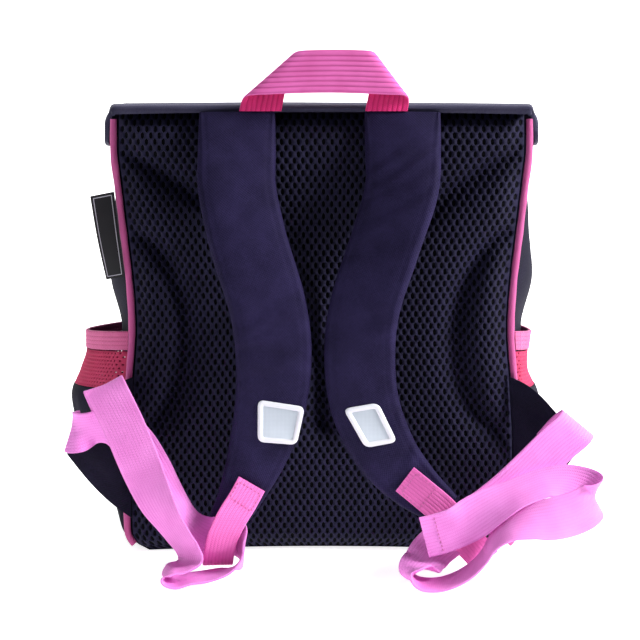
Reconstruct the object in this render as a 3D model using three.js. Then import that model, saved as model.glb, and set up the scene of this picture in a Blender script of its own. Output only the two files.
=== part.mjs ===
// A toddler's backpack, standing on its base with the back panel and shoulder straps towards -Y.
// Millimetres, +Z up, origin on the floor under the middle of the base.
import * as THREE from "three";

// Driving dimensions
const BACK_Y = -54; // inner face of the padded back panel
const FRONT_Y = 60; // outer face of the front panel at its seams
const CLOTH = 2; // coated cloth wall
const BASE_RADIUS = 14; // rounding where the walls turn under the bag
const PAD_EDGE = 4; // back panel's thickness at its seams and channels
const PAD_CROWN = 15; // back panel's thickness on the pads
const CHANNEL_HALF = 7; // half the width of a quilted channel
const CHANNEL_POWER = 1.4; // how softly a channel rises to its pads
const WEBBING_WIDTH = 25;
const WEBBING_THICK = 1.6;
const TAB_WIDTH = 18; // narrower webbing sewn on the strap ends
const STRAP_THICK = 10;

// Cloths and colours
const cloth = (color, roughness) => new THREE.MeshStandardMaterial({ color, roughness, metalness: 0 });
const NAVY = cloth(0x2b2750, 0.75);
const NAVY_MESH = cloth(0x17172b, 0.95);
const PINK = cloth(0xf07ac8, 0.7);
const PINK_NET = cloth(0xd0507c, 0.85);
const SILVER = cloth(0xdcdce6, 0.35);
const BLACK = cloth(0x17141c, 0.6);

// Half-width of the bag at each height: at the back seam, half-way along the side, at the front seam
const SIDE_ROWS = [
  { z: 0, back: 121, mid: 121, front: 116 },
  { z: 68, back: 121, mid: 125, front: 118 },
  { z: 108, back: 118.5, mid: 126, front: 117 },
  { z: 138, back: 116, mid: 129, front: 116 },
  { z: 168, back: 117, mid: 136, front: 117 },
  { z: 203, back: 120.5, mid: 133, front: 118 },
  { z: 228, back: 123, mid: 129, front: 119 },
  { z: 248, back: 125, mid: 127, front: 119 },
  { z: 274, back: 124.5, mid: 125, front: 119 },
];

// How far the middle of each side pocket stands off the bag's side
const POCKET_ROWS = [
  { z: 3, left: 0.5, right: 0.5 },
  { z: 28, left: 11, right: 4 },
  { z: 53, left: 24, right: 8 },
  { z: 88, left: 33, right: 11.5 },
  { z: 106, left: 26.5, right: 4 },
  { z: 117, left: 22, right: 2.8 },
  { z: 129, left: 20, right: 3.2 },
];
const POCKET_BANDS = [
  { name: "pocket_base", low: 4, high: 94, steps: 8, material: NAVY },
  { name: "pocket_net", low: 94.4, high: 116.6, steps: 3, material: PINK_NET },
  { name: "pocket_rim", low: 117, high: 129, steps: 2, material: PINK },
];

// Shoulder straps from the top seam to the tip: middle line, width and share of the full thickness
const STRAP_ROWS_LEFT = [
  { x: -50, y: -70, z: 272, width: 45, fill: 0.4, ax: 1, ay: 0, az: 0 },
  { x: -50, y: -77, z: 251, width: 46, fill: 0.9, ax: 1, ay: 0.06, az: 0 },
  { x: -49.5, y: -86, z: 228, width: 46, fill: 1, ax: 1, ay: 0.12, az: 0 },
  { x: -42.7, y: -93, z: 197, width: 46, fill: 1, ax: 1, ay: 0.14, az: 0 },
  { x: -31.7, y: -96, z: 160, width: 45.5, fill: 1, ax: 1, ay: 0.12, az: 0 },
  { x: -28.2, y: -97, z: 130, width: 45, fill: 1, ax: 1, ay: 0.05, az: 0 },
  { x: -30.5, y: -97, z: 100, width: 42, fill: 1, ax: 1, ay: 0, az: 0 },
  { x: -38, y: -97, z: 72, width: 36, fill: 0.95, ax: 1, ay: 0, az: 0 },
  { x: -48.5, y: -97, z: 46, width: 27, fill: 0.8, ax: 1, ay: 0, az: 0 },
  { x: -60, y: -97, z: 24, width: 20, fill: 0.6, ax: 1, ay: 0, az: 0 },
];
const STRAP_ROWS_RIGHT = [
  { x: 48, y: -70, z: 272, width: 45, fill: 0.4, ax: 1, ay: 0, az: 0 },
  { x: 48, y: -77, z: 251, width: 45, fill: 0.9, ax: 1, ay: -0.1, az: 0 },
  { x: 47, y: -86, z: 228, width: 44, fill: 1, ax: 1, ay: -0.2, az: 0 },
  { x: 37.3, y: -93, z: 197, width: 42.5, fill: 1, ax: 1, ay: -0.25, az: 0 },
  { x: 25.5, y: -96, z: 160, width: 42, fill: 1, ax: 1, ay: -0.2, az: 0 },
  { x: 22.5, y: -97, z: 130, width: 42, fill: 1, ax: 1, ay: -0.08, az: 0 },
  { x: 26, y: -97, z: 100, width: 41, fill: 1, ax: 1, ay: 0, az: 0 },
  { x: 38.5, y: -97, z: 72, width: 37, fill: 0.95, ax: 1, ay: 0, az: 0 },
  { x: 54.5, y: -97, z: 53, width: 31, fill: 0.8, ax: 1, ay: 0, az: 0 },
  { x: 74, y: -97, z: 37, width: 22, fill: 0.6, ax: 1, ay: 0, az: 0 },
];

// Reflecting patches on the straps: corners seen from behind the bag
const REFLECTOR_LEFT = [
  { x: -37.6, z: 105.5 },
  { x: -9.8, z: 101.2 },
  { x: -14.6, z: 78.2 },
  { x: -37.8, z: 80 },
];
const REFLECTOR_RIGHT = [
  { x: 12.7, z: 100 },
  { x: 33.4, z: 103.7 },
  { x: 44.9, z: 80 },
  { x: 25.9, z: 76.3 },
];

// Adjusting webbing from the side wing to the free end: middle line and the way across
const WEBBING_ROWS_LEFT = [
  { x: -145, y: -80.4, z: 82, ax: 0.3, ay: 0, az: 0.95 },
  { x: -148.6, y: -81.6, z: 81.7, ax: 0.31, ay: 0, az: 0.95 },
  { x: -150.8, y: -84.2, z: 81.4, ax: 0.31, ay: 0, az: 0.95 },
  { x: -147, y: -87, z: 82.3, ax: 0.28, ay: 0, az: 0.96 },
  { x: -138, y: -88.5, z: 85, ax: 0.1, ay: -0.5, az: 0.85 },
  { x: -128, y: -90, z: 86, ax: -0.1, ay: -0.3, az: 0.95 },
  { x: -118.5, y: -91.5, z: 83, ax: 0.25, ay: 0.1, az: 0.95 },
  { x: -110, y: -94, z: 74.5, ax: 0.5, ay: 0.3, az: 0.78 },
  { x: -101, y: -98, z: 61.5, ax: 0.52, ay: 0.5, az: 0.6 },
  { x: -91, y: -102.2, z: 47, ax: 0.4, ay: 0.78, az: 0.4 },
  { x: -80.5, y: -107, z: 33, ax: 0.2, ay: 0.85, az: 0.45 },
  { x: -70.5, y: -110.2, z: 25, ax: 0.08, ay: 0.5, az: 0.85 },
  { x: -61, y: -111, z: 23.3, ax: 0, ay: 0.12, az: 0.98 },
  { x: -51.6, y: -111.3, z: 23.2, ax: 0, ay: 0.05, az: 0.98 },
  { x: -46.6, y: -115.5, z: 18, ax: 0.08, ay: -0.5, az: 0.8 },
  { x: -47.5, y: -121.5, z: 12.2, ax: 0.05, ay: -0.82, az: 0.48 },
  { x: -55.5, y: -125.5, z: 8, ax: 0.1, ay: -0.96, az: 0.15 },
  { x: -67, y: -127, z: 5.2, ax: 0.15, ay: -0.97, az: 0.05 },
  { x: -77, y: -128, z: 4, ax: 0.15, ay: -0.97, az: 0.05 },
  { x: -85.5, y: -129, z: 2.4, ax: 0.1, ay: -0.98, az: 0 },
  { x: -91.5, y: -129, z: 4.8, ax: 0.05, ay: -0.98, az: 0 },
  { x: -88, y: -127, z: 9, ax: 0.1, ay: -0.97, az: 0 },
  { x: -81, y: -124.5, z: 10.5, ax: 0.35, ay: -0.9, az: 0.05 },
  { x: -77, y: -122, z: 14, ax: 0.6, ay: -0.75, az: 0.1 },
  { x: -79, y: -120.5, z: 20, ax: 0.62, ay: -0.72, az: 0.2 },
  { x: -84, y: -119, z: 27, ax: 0.65, ay: -0.68, az: 0.25 },
  { x: -90, y: -117.5, z: 35.5, ax: 0.7, ay: -0.6, az: 0.28 },
  { x: -96.6, y: -115.5, z: 46, ax: 0.8, ay: -0.4, az: 0.33 },
  { x: -102.5, y: -113, z: 58.5, ax: 0.88, ay: -0.2, az: 0.38 },
  { x: -108.5, y: -110, z: 72.5, ax: 0.92, ay: 0, az: 0.39 },
  { x: -116.5, y: -106, z: 90.5, ax: 0.92, ay: 0, az: 0.39 },
  { x: -125, y: -102, z: 107, ax: 0.92, ay: 0, az: 0.39 },
  { x: -128.8, y: -97, z: 112.5, ax: 0.92, ay: 0, az: 0.39 },
  { x: -128.5, y: -92.5, z: 108, ax: 0.92, ay: 0, az: 0.39 },
  { x: -124.5, y: -92, z: 98, ax: 0.92, ay: 0, az: 0.39 },
];
const WEBBING_ROWS_RIGHT = [
  { x: 140, y: -79.5, z: 71.5, ax: 0.77, ay: 0, az: -0.64 },
  { x: 148, y: -81, z: 81.5, ax: 0.77, ay: 0, az: -0.64 },
  { x: 153.5, y: -86, z: 87.5, ax: 0.77, ay: 0, az: -0.64 },
  { x: 151, y: -92.5, z: 85, ax: 0.77, ay: 0, az: -0.64 },
  { x: 139, y: -96, z: 75.5, ax: 0.76, ay: 0, az: -0.65 },
  { x: 124, y: -100, z: 61.5, ax: 0.74, ay: 0, az: -0.67 },
  { x: 109, y: -103.5, z: 48, ax: 0.66, ay: -0.1, az: -0.74 },
  { x: 92, y: -107, z: 35.5, ax: 0.5, ay: -0.15, az: -0.84 },
  { x: 76, y: -109.5, z: 24.5, ax: 0.25, ay: -0.25, az: -0.93 },
  { x: 66.5, y: -113, z: 17.5, ax: 0.1, ay: -0.6, az: -0.75 },
  { x: 60.5, y: -121, z: 12.8, ax: 0, ay: -0.9, az: -0.4 },
  { x: 54.8, y: -130.5, z: 10.3, ax: -0.05, ay: -0.98, az: -0.1 },
  { x: 52.7, y: -134, z: 6.8, ax: 0, ay: -1, az: 0 },
  { x: 57.8, y: -134.4, z: 3, ax: 0, ay: -1, az: 0 },
  { x: 68, y: -134.5, z: 2.6, ax: 0, ay: -1, az: 0 },
  { x: 78.5, y: -134.5, z: 6, ax: 0, ay: -1, az: 0 },
  { x: 87.5, y: -134.5, z: 12, ax: 0, ay: -1, az: 0 },
  { x: 94, y: -135, z: 19.5, ax: 0, ay: -1, az: 0 },
  { x: 99.5, y: -136.5, z: 29.5, ax: 0.02, ay: -0.99, az: -0.1 },
  { x: 108.5, y: -137.5, z: 37.5, ax: 0.06, ay: -0.93, az: -0.35 },
  { x: 120, y: -137.5, z: 41, ax: 0.1, ay: -0.78, az: -0.6 },
  { x: 133, y: -135.5, z: 42.2, ax: 0.13, ay: -0.5, az: -0.85 },
  { x: 146, y: -131.5, z: 44.4, ax: 0.14, ay: -0.28, az: -0.95 },
  { x: 154.6, y: -127.6, z: 47.6, ax: 0.12, ay: -0.22, az: -0.96 },
  { x: 158.9, y: -122.8, z: 51.4, ax: 0.1, ay: -0.24, az: -0.96 },
  { x: 155, y: -118.2, z: 55.2, ax: 0.1, ay: -0.42, az: -0.9 },
  { x: 144.5, y: -116, z: 58.6, ax: 0.1, ay: -0.7, az: -0.7 },
  { x: 132, y: -116.5, z: 58.8, ax: 0.08, ay: -0.88, az: -0.46 },
  { x: 121.3, y: -119.5, z: 56.2, ax: 0.1, ay: -0.9, az: -0.42 },
  { x: 110.8, y: -122.5, z: 52.6, ax: 0.18, ay: -0.86, az: -0.45 },
  { x: 100.9, y: -124.5, z: 47.8, ax: 0.28, ay: -0.72, az: -0.65 },
  { x: 90.5, y: -125, z: 41.4, ax: 0.36, ay: -0.4, az: -0.85 },
  { x: 80.7, y: -125, z: 35, ax: 0.35, ay: 0, az: -0.93 },
  { x: 70.2, y: -125, z: 30.8, ax: 0.2, ay: 0, az: -0.97 },
  { x: 59.8, y: -125, z: 28.1, ax: 0, ay: 0, az: -1 },
];

// Strap tabs: from the face of the strap down, round the adjusting webbing and up behind it
const TAB_ROWS_LEFT = [
  { x: -41.5, y: -103.8, z: 54.5, ax: 0.87, ay: 0, az: -0.45 },
  { x: -46.5, y: -111, z: 46.5, ax: 0.87, ay: 0, az: -0.45 },
  { x: -52.5, y: -118, z: 38, ax: 0.92, ay: 0.02, az: -0.3 },
  { x: -57.5, y: -121, z: 28, ax: 0.95, ay: 0.05, az: -0.15 },
  { x: -60, y: -120, z: 18, ax: 0.96, ay: 0.08, az: 0 },
  { x: -61.4, y: -113, z: 8.3, ax: 0.96, ay: 0.08, az: 0 },
  { x: -62, y: -106, z: 10.5, ax: 0.97, ay: 0.05, az: 0 },
  { x: -62, y: -103.2, z: 20, ax: 0.98, ay: 0, az: 0 },
  { x: -62, y: -103.2, z: 27, ax: 0.98, ay: 0, az: 0 },
];
const TAB_ROWS_RIGHT = [
  { x: 49.5, y: -103.8, z: 57.5, ax: 0.7, ay: 0, az: 0.7 },
  { x: 60, y: -109.5, z: 50, ax: 0.7, ay: 0, az: 0.7 },
  { x: 71, y: -115, z: 41.5, ax: 0.68, ay: 0.1, az: 0.7 },
  { x: 80, y: -118.5, z: 31.5, ax: 0.75, ay: 0.1, az: 0.6 },
  { x: 89, y: -119.5, z: 21.5, ax: 0.75, ay: 0.1, az: 0.6 },
  { x: 95.5, y: -117.5, z: 13.5, ax: 0.75, ay: 0.1, az: 0.6 },
  { x: 96.5, y: -111.5, z: 10.5, ax: 0.75, ay: 0.1, az: 0.6 },
  { x: 91.5, y: -105, z: 14.5, ax: 0.75, ay: 0.1, az: 0.6 },
  { x: 84.5, y: -102, z: 21, ax: 0.75, ay: 0.1, az: 0.6 },
];

// Lid in side view: its outer face from the rear lip over the top and down the front,
// with its half-width and how far its side flange turns down
const LID_ROWS = [
  { y: -70.4, z: 272.6, half: 125, drop: 2.6 },
  { y: -71, z: 274.4, half: 125.2, drop: 2.6 },
  { y: -68.5, z: 275.7, half: 125.5, drop: 2.8 },
  { y: -60, z: 276.1, half: 126.5, drop: 3.2 },
  { y: -53, z: 276.2, half: 128, drop: 4 },
  { y: -45, z: 276.2, half: 132, drop: 22 },
  { y: -10, z: 275.2, half: 132.5, drop: 26 },
  { y: 30, z: 272.6, half: 131, drop: 26 },
  { y: 58, z: 265, half: 129.5, drop: 22 },
  { y: 72, z: 252, half: 128, drop: 13 },
  { y: 77, z: 230, half: 126, drop: 8 },
  { y: 79, z: 198, half: 124, drop: 6 },
  { y: 79, z: 158, half: 120, drop: 5 },
  { y: 77, z: 126, half: 112, drop: 4 },
];

// A column of a table as a smooth curve through its rows, where the key column is at the given value
function smooth(rows, key, column, at) {
  const last = rows.length - 1;
  const found = rows.findIndex((row) => row[key] >= at);
  const i = Math.min(Math.max(found < 0 ? last : found, 1), last);
  const [a, b] = [rows[i - 1], rows[i]];
  const [before, after] = [rows[Math.max(i - 2, 0)], rows[Math.min(i + 1, last)]];
  const span = b[key] - a[key];
  const t = Math.min(Math.max((at - a[key]) / span, 0), 1);
  const slopeA = ((b[column] - before[column]) / (b[key] - before[key])) * span;
  const slopeB = ((after[column] - a[column]) / (after[key] - a[key])) * span;
  const [t2, t3] = [t * t, t * t * t];
  const fromA = (2 * t3 - 3 * t2 + 1) * a[column] + (t3 - 2 * t2 + t) * slopeA;
  return fromA + (3 * t2 - 2 * t3) * b[column] + (t3 - t2) * slopeB;
}

// The same for rows that follow each other along a path, share running from 0 to 1
function alongPath(rows, column, share) {
  const numbered = rows.map((row, index) => ({ index, value: row[column] }));
  return smooth(numbered, "index", "value", share * (rows.length - 1));
}

// A closed body from corner points and triangles, turned to face outwards
function body(points, triangles) {
  let volume = 0;
  for (const [a, b, c] of triangles) {
    volume += points[a].dot(new THREE.Vector3().crossVectors(points[b], points[c]));
  }
  const faces = volume < 0 ? triangles.map(([a, b, c]) => [a, c, b]) : triangles;
  const geometry = new THREE.BufferGeometry().setFromPoints(points);
  geometry.setIndex(faces.flat());
  geometry.computeVertexNormals();
  return geometry;
}

// A wall between an outer and an inner surface over u and v from 0 to 1, closed round its rim
function wall(columns, rows, outer, inner) {
  const across = columns + 1;
  const layer = across * (rows + 1);
  const points = [];
  for (const surface of [outer, inner]) {
    for (let j = 0; j <= rows; j++) {
      for (let i = 0; i <= columns; i++) points.push(surface(i / columns, j / rows));
    }
  }
  const triangles = [];
  const quad = (a, b, c, d) => triangles.push([a, b, c], [a, c, d]);
  for (let j = 0; j < rows; j++) {
    for (let i = 0; i < columns; i++) {
      const at = j * across + i;
      quad(at, at + 1, at + 1 + across, at + across);
      quad(layer + at, layer + at + across, layer + at + 1 + across, layer + at + 1);
    }
  }
  for (let i = 0; i < columns; i++) {
    const top = rows * across + i;
    quad(i + 1, i, layer + i, layer + i + 1);
    quad(top, top + 1, layer + top + 1, layer + top);
  }
  for (let j = 0; j < rows; j++) {
    const left = j * across;
    const right = left + columns;
    quad(left, left + across, layer + left + across, layer + left);
    quad(right + across, right, layer + right, layer + right + across);
  }
  return body(points, triangles);
}

// A body through a row of closed sections with equal numbers of points, capped at both ends
function loft(sections) {
  const count = sections[0].length;
  const end = (sections.length - 1) * count;
  const triangles = [];
  for (let s = 0; s < end; s += count) {
    for (let i = 0; i < count; i++) {
      const [a, b] = [s + i, s + ((i + 1) % count)];
      triangles.push([a, b, b + count], [a, b + count, a + count]);
    }
  }
  for (let i = 1; i + 1 < count; i++) {
    triangles.push([0, i + 1, i], [end, end + i, end + i + 1]);
  }
  return body(sections.flat(), triangles);
}

// A flat outline with rounded corners, for plates
function roundedOutline(corners, radius) {
  const outline = new THREE.Shape();
  corners.forEach((corner, i) => {
    const before = corners[(i + corners.length - 1) % corners.length];
    const after = corners[(i + 1) % corners.length];
    const towards = (other) => other.clone().sub(corner).setLength(radius).add(corner);
    const [into, out] = [towards(before), towards(after)];
    if (i === 0) outline.moveTo(into.x, into.y);
    else outline.lineTo(into.x, into.y);
    outline.quadraticCurveTo(corner.x, corner.y, out.x, out.y);
  });
  outline.closePath();
  return outline;
}

// An upright plate drawn in x and z, from its face at y towards -Y by its thickness
function uprightPlate(corners, radius, y, thick) {
  const outline = roundedOutline(corners.map(({ x, z }) => new THREE.Vector2(x, z)), radius);
  const plate = new THREE.ExtrudeGeometry(outline, { depth: thick, bevelEnabled: false, curveSegments: 4 });
  return plate.rotateX(Math.PI / 2).translate(0, y, 0);
}

// Places along a route: the middle point, the way across and the way out of the face
function stations(rows, steps) {
  const near = 0.002;
  const at = (columns, share) => {
    const values = columns.map((column) => alongPath(rows, column, share));
    return new THREE.Vector3(...values);
  };
  const middle = (share) => at(["x", "y", "z"], Math.min(Math.max(share, 0), 1));
  return Array.from({ length: steps + 1 }, (_, i) => {
    const share = i / steps;
    const run = middle(share + near).sub(middle(share - near)).normalize();
    const face = new THREE.Vector3().crossVectors(run, at(["ax", "ay", "az"], share)).normalize();
    const across = new THREE.Vector3().crossVectors(face, run);
    return { share, middle: middle(share), across, face };
  });
}

// Flat webbing along a route
function webbing(rows, width, steps) {
  const places = stations(rows, steps);
  const side = (out) => (u, v) => {
    const { middle, across, face } = places[Math.round(v * steps)];
    const edge = middle.clone().addScaledVector(across, (u - 0.5) * width);
    return edge.addScaledVector(face, (out * WEBBING_THICK) / 2);
  };
  return wall(1, steps, side(1), side(-1));
}

// Shoulder strap: a padded oval section, flatter than round, carried along its route
const STRAP = { points: 12, steps: 22, flatAcross: 0.6, flatOut: 0.9 };

function shoulderStrap(rows) {
  const power = (value, exponent) => Math.sign(value) * Math.abs(value) ** exponent;
  const sections = stations(rows, STRAP.steps).map(({ share, middle, across, face }) => {
    const width = alongPath(rows, "width", share);
    const thick = STRAP_THICK * alongPath(rows, "fill", share);
    return Array.from({ length: STRAP.points }, (_, i) => {
      const angle = (2 * Math.PI * i) / STRAP.points;
      const side = (power(Math.cos(angle), STRAP.flatAcross) * width) / 2;
      const out = (power(Math.sin(angle), STRAP.flatOut) * thick) / 2;
      return middle.clone().addScaledVector(across, side).addScaledVector(face, out);
    });
  });
  return loft(sections);
}

// Reflecting patch on the face of a strap
const REFLECTOR = { round: 3, y: -102.6, thick: 1.2 };
const reflector = (corners) => uprightPlate(corners, REFLECTOR.round, REFLECTOR.y, REFLECTOR.thick);

// How far a wall has drawn in at height z, where it turns under the bag
function turnUnder(z) {
  const below = Math.max(BASE_RADIUS - z, 0);
  return BASE_RADIUS - Math.sqrt(BASE_RADIUS ** 2 - below ** 2);
}

// Height and draw-in of a wall's section from the floor up, at a depth inside its outer face
function wallSection(share, high, depth) {
  const turn = 0.2;
  const angle = (Math.min(share / turn, 1) * Math.PI) / 2;
  const rise = (Math.max(share - turn, 0) / (1 - turn)) * (high - BASE_RADIUS);
  const radius = BASE_RADIUS - depth;
  return { z: BASE_RADIUS - radius * Math.cos(angle) + rise, inset: BASE_RADIUS - radius * Math.sin(angle) };
}

// Half-width of the bag at height z and share u of its depth, before the walls turn under
function sideHalf(u, z) {
  const [back, mid, front] = ["back", "mid", "front"].map((column) => smooth(SIDE_ROWS, "z", column, z));
  return back * (1 - u) * (1 - 2 * u) + mid * 4 * u * (1 - u) + front * u * (2 * u - 1);
}

// Back panel: a slab quilted on its outer face into an upper shield, two side pads and a lower pad
const PANEL = { low: 0.5, high: 271.6, inset: 3.2, bow: 8 };
const SHIELD = { half: 118, tip: 82, top: 247, power: 2.6 };
const SIDE_PAD = { x: 119, z: 137, half: 36, rise: 62 };

// Distance from the curved channel under the shield, |x| growing with a power of the height
function shieldDistance(x, z) {
  const height = SHIELD.top - SHIELD.tip;
  const share = Math.max((z - SHIELD.tip) / height, 0);
  const edge = SHIELD.half * share ** SHIELD.power;
  const slope = ((SHIELD.half * SHIELD.power) / height) * share ** (SHIELD.power - 1);
  return z < SHIELD.tip ? Math.hypot(x, SHIELD.tip - z) : Math.abs(Math.abs(x) - edge) / Math.hypot(1, slope);
}

// Distance from the half-oval channel round a side pad
function sidePadDistance(x, z) {
  const dx = (Math.abs(x) - SIDE_PAD.x) / SIDE_PAD.half;
  const dz = (z - SIDE_PAD.z) / SIDE_PAD.rise;
  const radius = Math.hypot(dx, dz);
  const slope = Math.hypot(dx / SIDE_PAD.half, dz / SIDE_PAD.rise) / Math.max(radius, 0.1);
  return Math.abs(radius - 1) / Math.max(slope, 0.01);
}

function panelThickness(x, z, half) {
  const fromChannel = Math.min(shieldDistance(x, z), sidePadDistance(x, z));
  const fromEdge = Math.min(half - Math.abs(x), PANEL.high - z, z - PANEL.low);
  const lift = (distance, reach) => 1 - Math.exp(-((Math.max(distance, 0) / reach) ** CHANNEL_POWER));
  const padded = lift(fromChannel, CHANNEL_HALF) * lift(fromEdge, CHANNEL_HALF);
  return PAD_EDGE + (PAD_CROWN - PAD_EDGE) * padded;
}

function backPanel() {
  const point = (u, v, outer) => {
    const z = PANEL.low + v * (PANEL.high - PANEL.low);
    const half = sideHalf(0, z) - turnUnder(z) - PANEL.inset;
    const x = (2 * u - 1) * half;
    const bow = PANEL.bow * (1 - (x / half) ** 2) * (1 - z / PANEL.high);
    return new THREE.Vector3(x, BACK_Y + bow - (outer ? panelThickness(x, z, half) : 0), z);
  };
  return wall(26, 27, (u, v) => point(u, v, true), (u, v) => point(u, v, false));
}

// Side of the bag: a bulging wall between the back seam and the front seam
const GUSSET = { high: 258, back: -53.4, front: 57 };

function gusset(side) {
  const point = (u, v, depth) => {
    const { z, inset } = wallSection(v, GUSSET.high, depth);
    const front = GUSSET.front - 2 * turnUnder(z);
    return new THREE.Vector3(side * (sideHalf(u, z) - inset), GUSSET.back + u * (front - GUSSET.back), z);
  };
  return wall(8, 20, (u, v) => point(u, v, 0), (u, v) => point(u, v, CLOTH));
}

// Front panel: a plain, gently crowned wall
const FRONT = { high: 244, crown: 9, crownLow: 0.1, crownRise: 1 / 3, inset: 3 };

function frontPanel() {
  const point = (u, v, depth) => {
    const { z, inset } = wallSection(v, FRONT.high, depth);
    const half = sideHalf(1, z) - turnUnder(z) - FRONT.inset;
    const across = 2 * u - 1;
    const rise = Math.min(Math.max((v - FRONT.crownLow) / FRONT.crownRise, 0), 1);
    const crown = FRONT.crown * (1 - across ** 2) * rise;
    return new THREE.Vector3(across * half, FRONT_Y + crown - inset, z);
  };
  return wall(8, 15, (u, v) => point(u, v, 0), (u, v) => point(u, v, CLOTH));
}

// Base: a flat panel inside the turned-under walls, a little narrower at the front
const BASE = { clear: 1.5, clearBack: 1, corner: 10 };

function basePanel() {
  const [backHalf, frontHalf] = [0, 1].map((u) => sideHalf(u, 0) - BASE_RADIUS - BASE.clear);
  const [back, front] = [BACK_Y + PANEL.bow + BASE.clearBack, FRONT_Y - BASE_RADIUS - BASE.clear];
  const corners = [[-backHalf, back], [backHalf, back], [frontHalf, front], [-frontHalf, front]];
  const outline = roundedOutline(corners.map(([x, y]) => new THREE.Vector2(x, y)), BASE.corner);
  return new THREE.ExtrudeGeometry(outline, { depth: CLOTH, bevelEnabled: false, curveSegments: 4 });
}

// Lid: one sheet with a crowned top, a rounded edge and side flanges turned down
const LID = { thick: 2.2, crown: 1.2, round: 13, flat: 0.64, arc: 0.86 };

function lid() {
  const near = 0.01;
  const column = (name, v) => alongPath(LID_ROWS, name, Math.min(Math.max(v, 0), 1));
  const point = (u, v, depth) => {
    const run = ["y", "z"].map((name) => column(name, v + near) - column(name, v - near));
    const inward = new THREE.Vector2(run[1], -run[0]).normalize();
    const across = 2 * u - 1;
    const share = Math.abs(across);
    const round = Math.min(LID.round, column("drop", v));
    // Flat as far as LID.flat, round the edge as far as LID.arc, then down the flange
    const angle = (Math.min(Math.max((share - LID.flat) / (LID.arc - LID.flat), 0), 1) * Math.PI) / 2;
    const flange = (Math.max(share - LID.arc, 0) / (1 - LID.arc)) * (column("drop", v) - round);
    const flat = Math.min(share / LID.flat, 1) * (column("half", v) - round);
    const out = flat + (round - depth) * Math.sin(angle);
    const crown = Math.min(inward.y, 0) * LID.crown * (1 - share ** 2);
    const down = round - (round - depth) * Math.cos(angle) + flange + crown;
    return new THREE.Vector3(
      Math.sign(across) * out,
      column("y", v) + inward.x * down,
      column("z", v) + inward.y * down,
    );
  };
  return wall(14, 22, (u, v) => point(u, v, 0), (u, v) => point(u, v, LID.thick));
}

// Plain closing clasp on the lower edge of the lid's front
const CLASP = { half: 18, low: 130, high: 162, round: 7, y: 89.5, thick: 6 };

function lidClasp() {
  const { half, low, high } = CLASP;
  const corners = [{ x: -half, z: low }, { x: half, z: low }, { x: half, z: high }, { x: -half, z: high }];
  return uprightPlate(corners, CLASP.round, CLASP.y, CLASP.thick);
}

// Carry handle: webbing with upright ends, rolled over at 45 degrees into a level grip in front of them.
// A point past the fold line rolls half round a small cylinder along that line and comes back in front.
const HANDLE = { left: -36.2, right: 38.3, low: 273.2, grip: 282.5, y: -73, roll: 3, lean: 0.2 };

function carryHandle() {
  const leg = HANDLE.grip - HANDLE.low;
  const bend = Math.PI * HANDLE.roll;
  const length = 2 * (leg + WEBBING_WIDTH / 2) + HANDLE.right - HANDLE.left;
  // Lines across the strip from a foot to the middle: how far along, and how far they slant with the fold
  const lines = [{ along: 0, slant: 0 }];
  for (let i = 0; i <= 8; i++) {
    lines.push({ along: leg + WEBBING_WIDTH / 2 + (i / 8 - 0.5) * bend * Math.SQRT2, slant: 1 });
  }
  lines.push({ along: length / 2, slant: 0 });
  const count = 2 * (lines.length - 1);
  const place = (u, v, out) => {
    const index = Math.round(v * count);
    const mirrored = index >= lines.length;
    const { along, slant } = lines[mirrored ? count - index : index];
    const acrossFlat = (u - 0.5) * WEBBING_WIDTH;
    const flat = { x: acrossFlat + WEBBING_WIDTH / 2, z: along + slant * acrossFlat - leg };
    const onFold = (flat.x + flat.z) * Math.SQRT1_2;
    const past = (flat.z - flat.x) * Math.SQRT1_2 + bend / 2;
    const angle = Math.min(Math.max(past / HANDLE.roll, 0), Math.PI);
    const offset = (out * WEBBING_THICK) / 2;
    const radius = HANDLE.roll - offset;
    const run = Math.min(past, 0) + radius * Math.sin(angle) - Math.max(past - bend, 0) - bend / 2;
    const forward = HANDLE.roll - radius * Math.cos(angle);
    const x = (onFold - run) * Math.SQRT1_2 - WEBBING_WIDTH / 2;
    const rise = (onFold + run) * Math.SQRT1_2;
    const lean = HANDLE.lean * (rise + leg);
    return new THREE.Vector3(
      (mirrored ? HANDLE.right - x : HANDLE.left + x) + lean,
      HANDLE.y - forward,
      HANDLE.grip + rise,
    );
  };
  return wall(1, count, (u, v) => place(u, v, 1), (u, v) => place(u, v, -1));
}

// Piping along a back seam
const PIPING = { radius: 2.1, low: 4, high: 268, y: -57.5, clear: 0.2, steps: 26 };

function piping(side) {
  const { low, high, steps } = PIPING;
  const points = Array.from({ length: steps + 1 }, (_, i) => {
    const z = low + (i / steps) * (high - low);
    return new THREE.Vector3(side * (sideHalf(0, z) - turnUnder(z) + PIPING.clear), PIPING.y, z);
  });
  const section = new THREE.Shape().absarc(0, 0, PIPING.radius, 0, 2 * Math.PI);
  const extrudePath = new THREE.CatmullRomCurve3(points);
  return new THREE.ExtrudeGeometry(section, { steps, curveSegments: 3, bevelEnabled: false, extrudePath });
}

// One band of a side pocket, bulging between the back seam and the front seam
const POCKET = { back: -50, front: 50, clear: 2, pull: 0.07, round: 0.7 };

function pocketBand(side, band) {
  const column = side < 0 ? "left" : "right";
  const point = (u, v, depth) => {
    // The elastic pulls the back of the pocket up a little
    const z = (band.low + v * (band.high - band.low)) * (1 + POCKET.pull * (1 - u) ** 2);
    const front = POCKET.front - turnUnder(z);
    const y = POCKET.back + u * (front - POCKET.back);
    const share = (y - GUSSET.back) / (GUSSET.front - turnUnder(z) - GUSSET.back);
    const standing = smooth(POCKET_ROWS, "z", column, z) * Math.sin(Math.PI * u) ** POCKET.round;
    const half = sideHalf(share, z) - turnUnder(z);
    return new THREE.Vector3(side * (half + POCKET.clear + standing + depth), y, z);
  };
  return wall(8, band.steps, (u, v) => point(u, v, CLOTH), (u, v) => point(u, v, 0));
}

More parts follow.
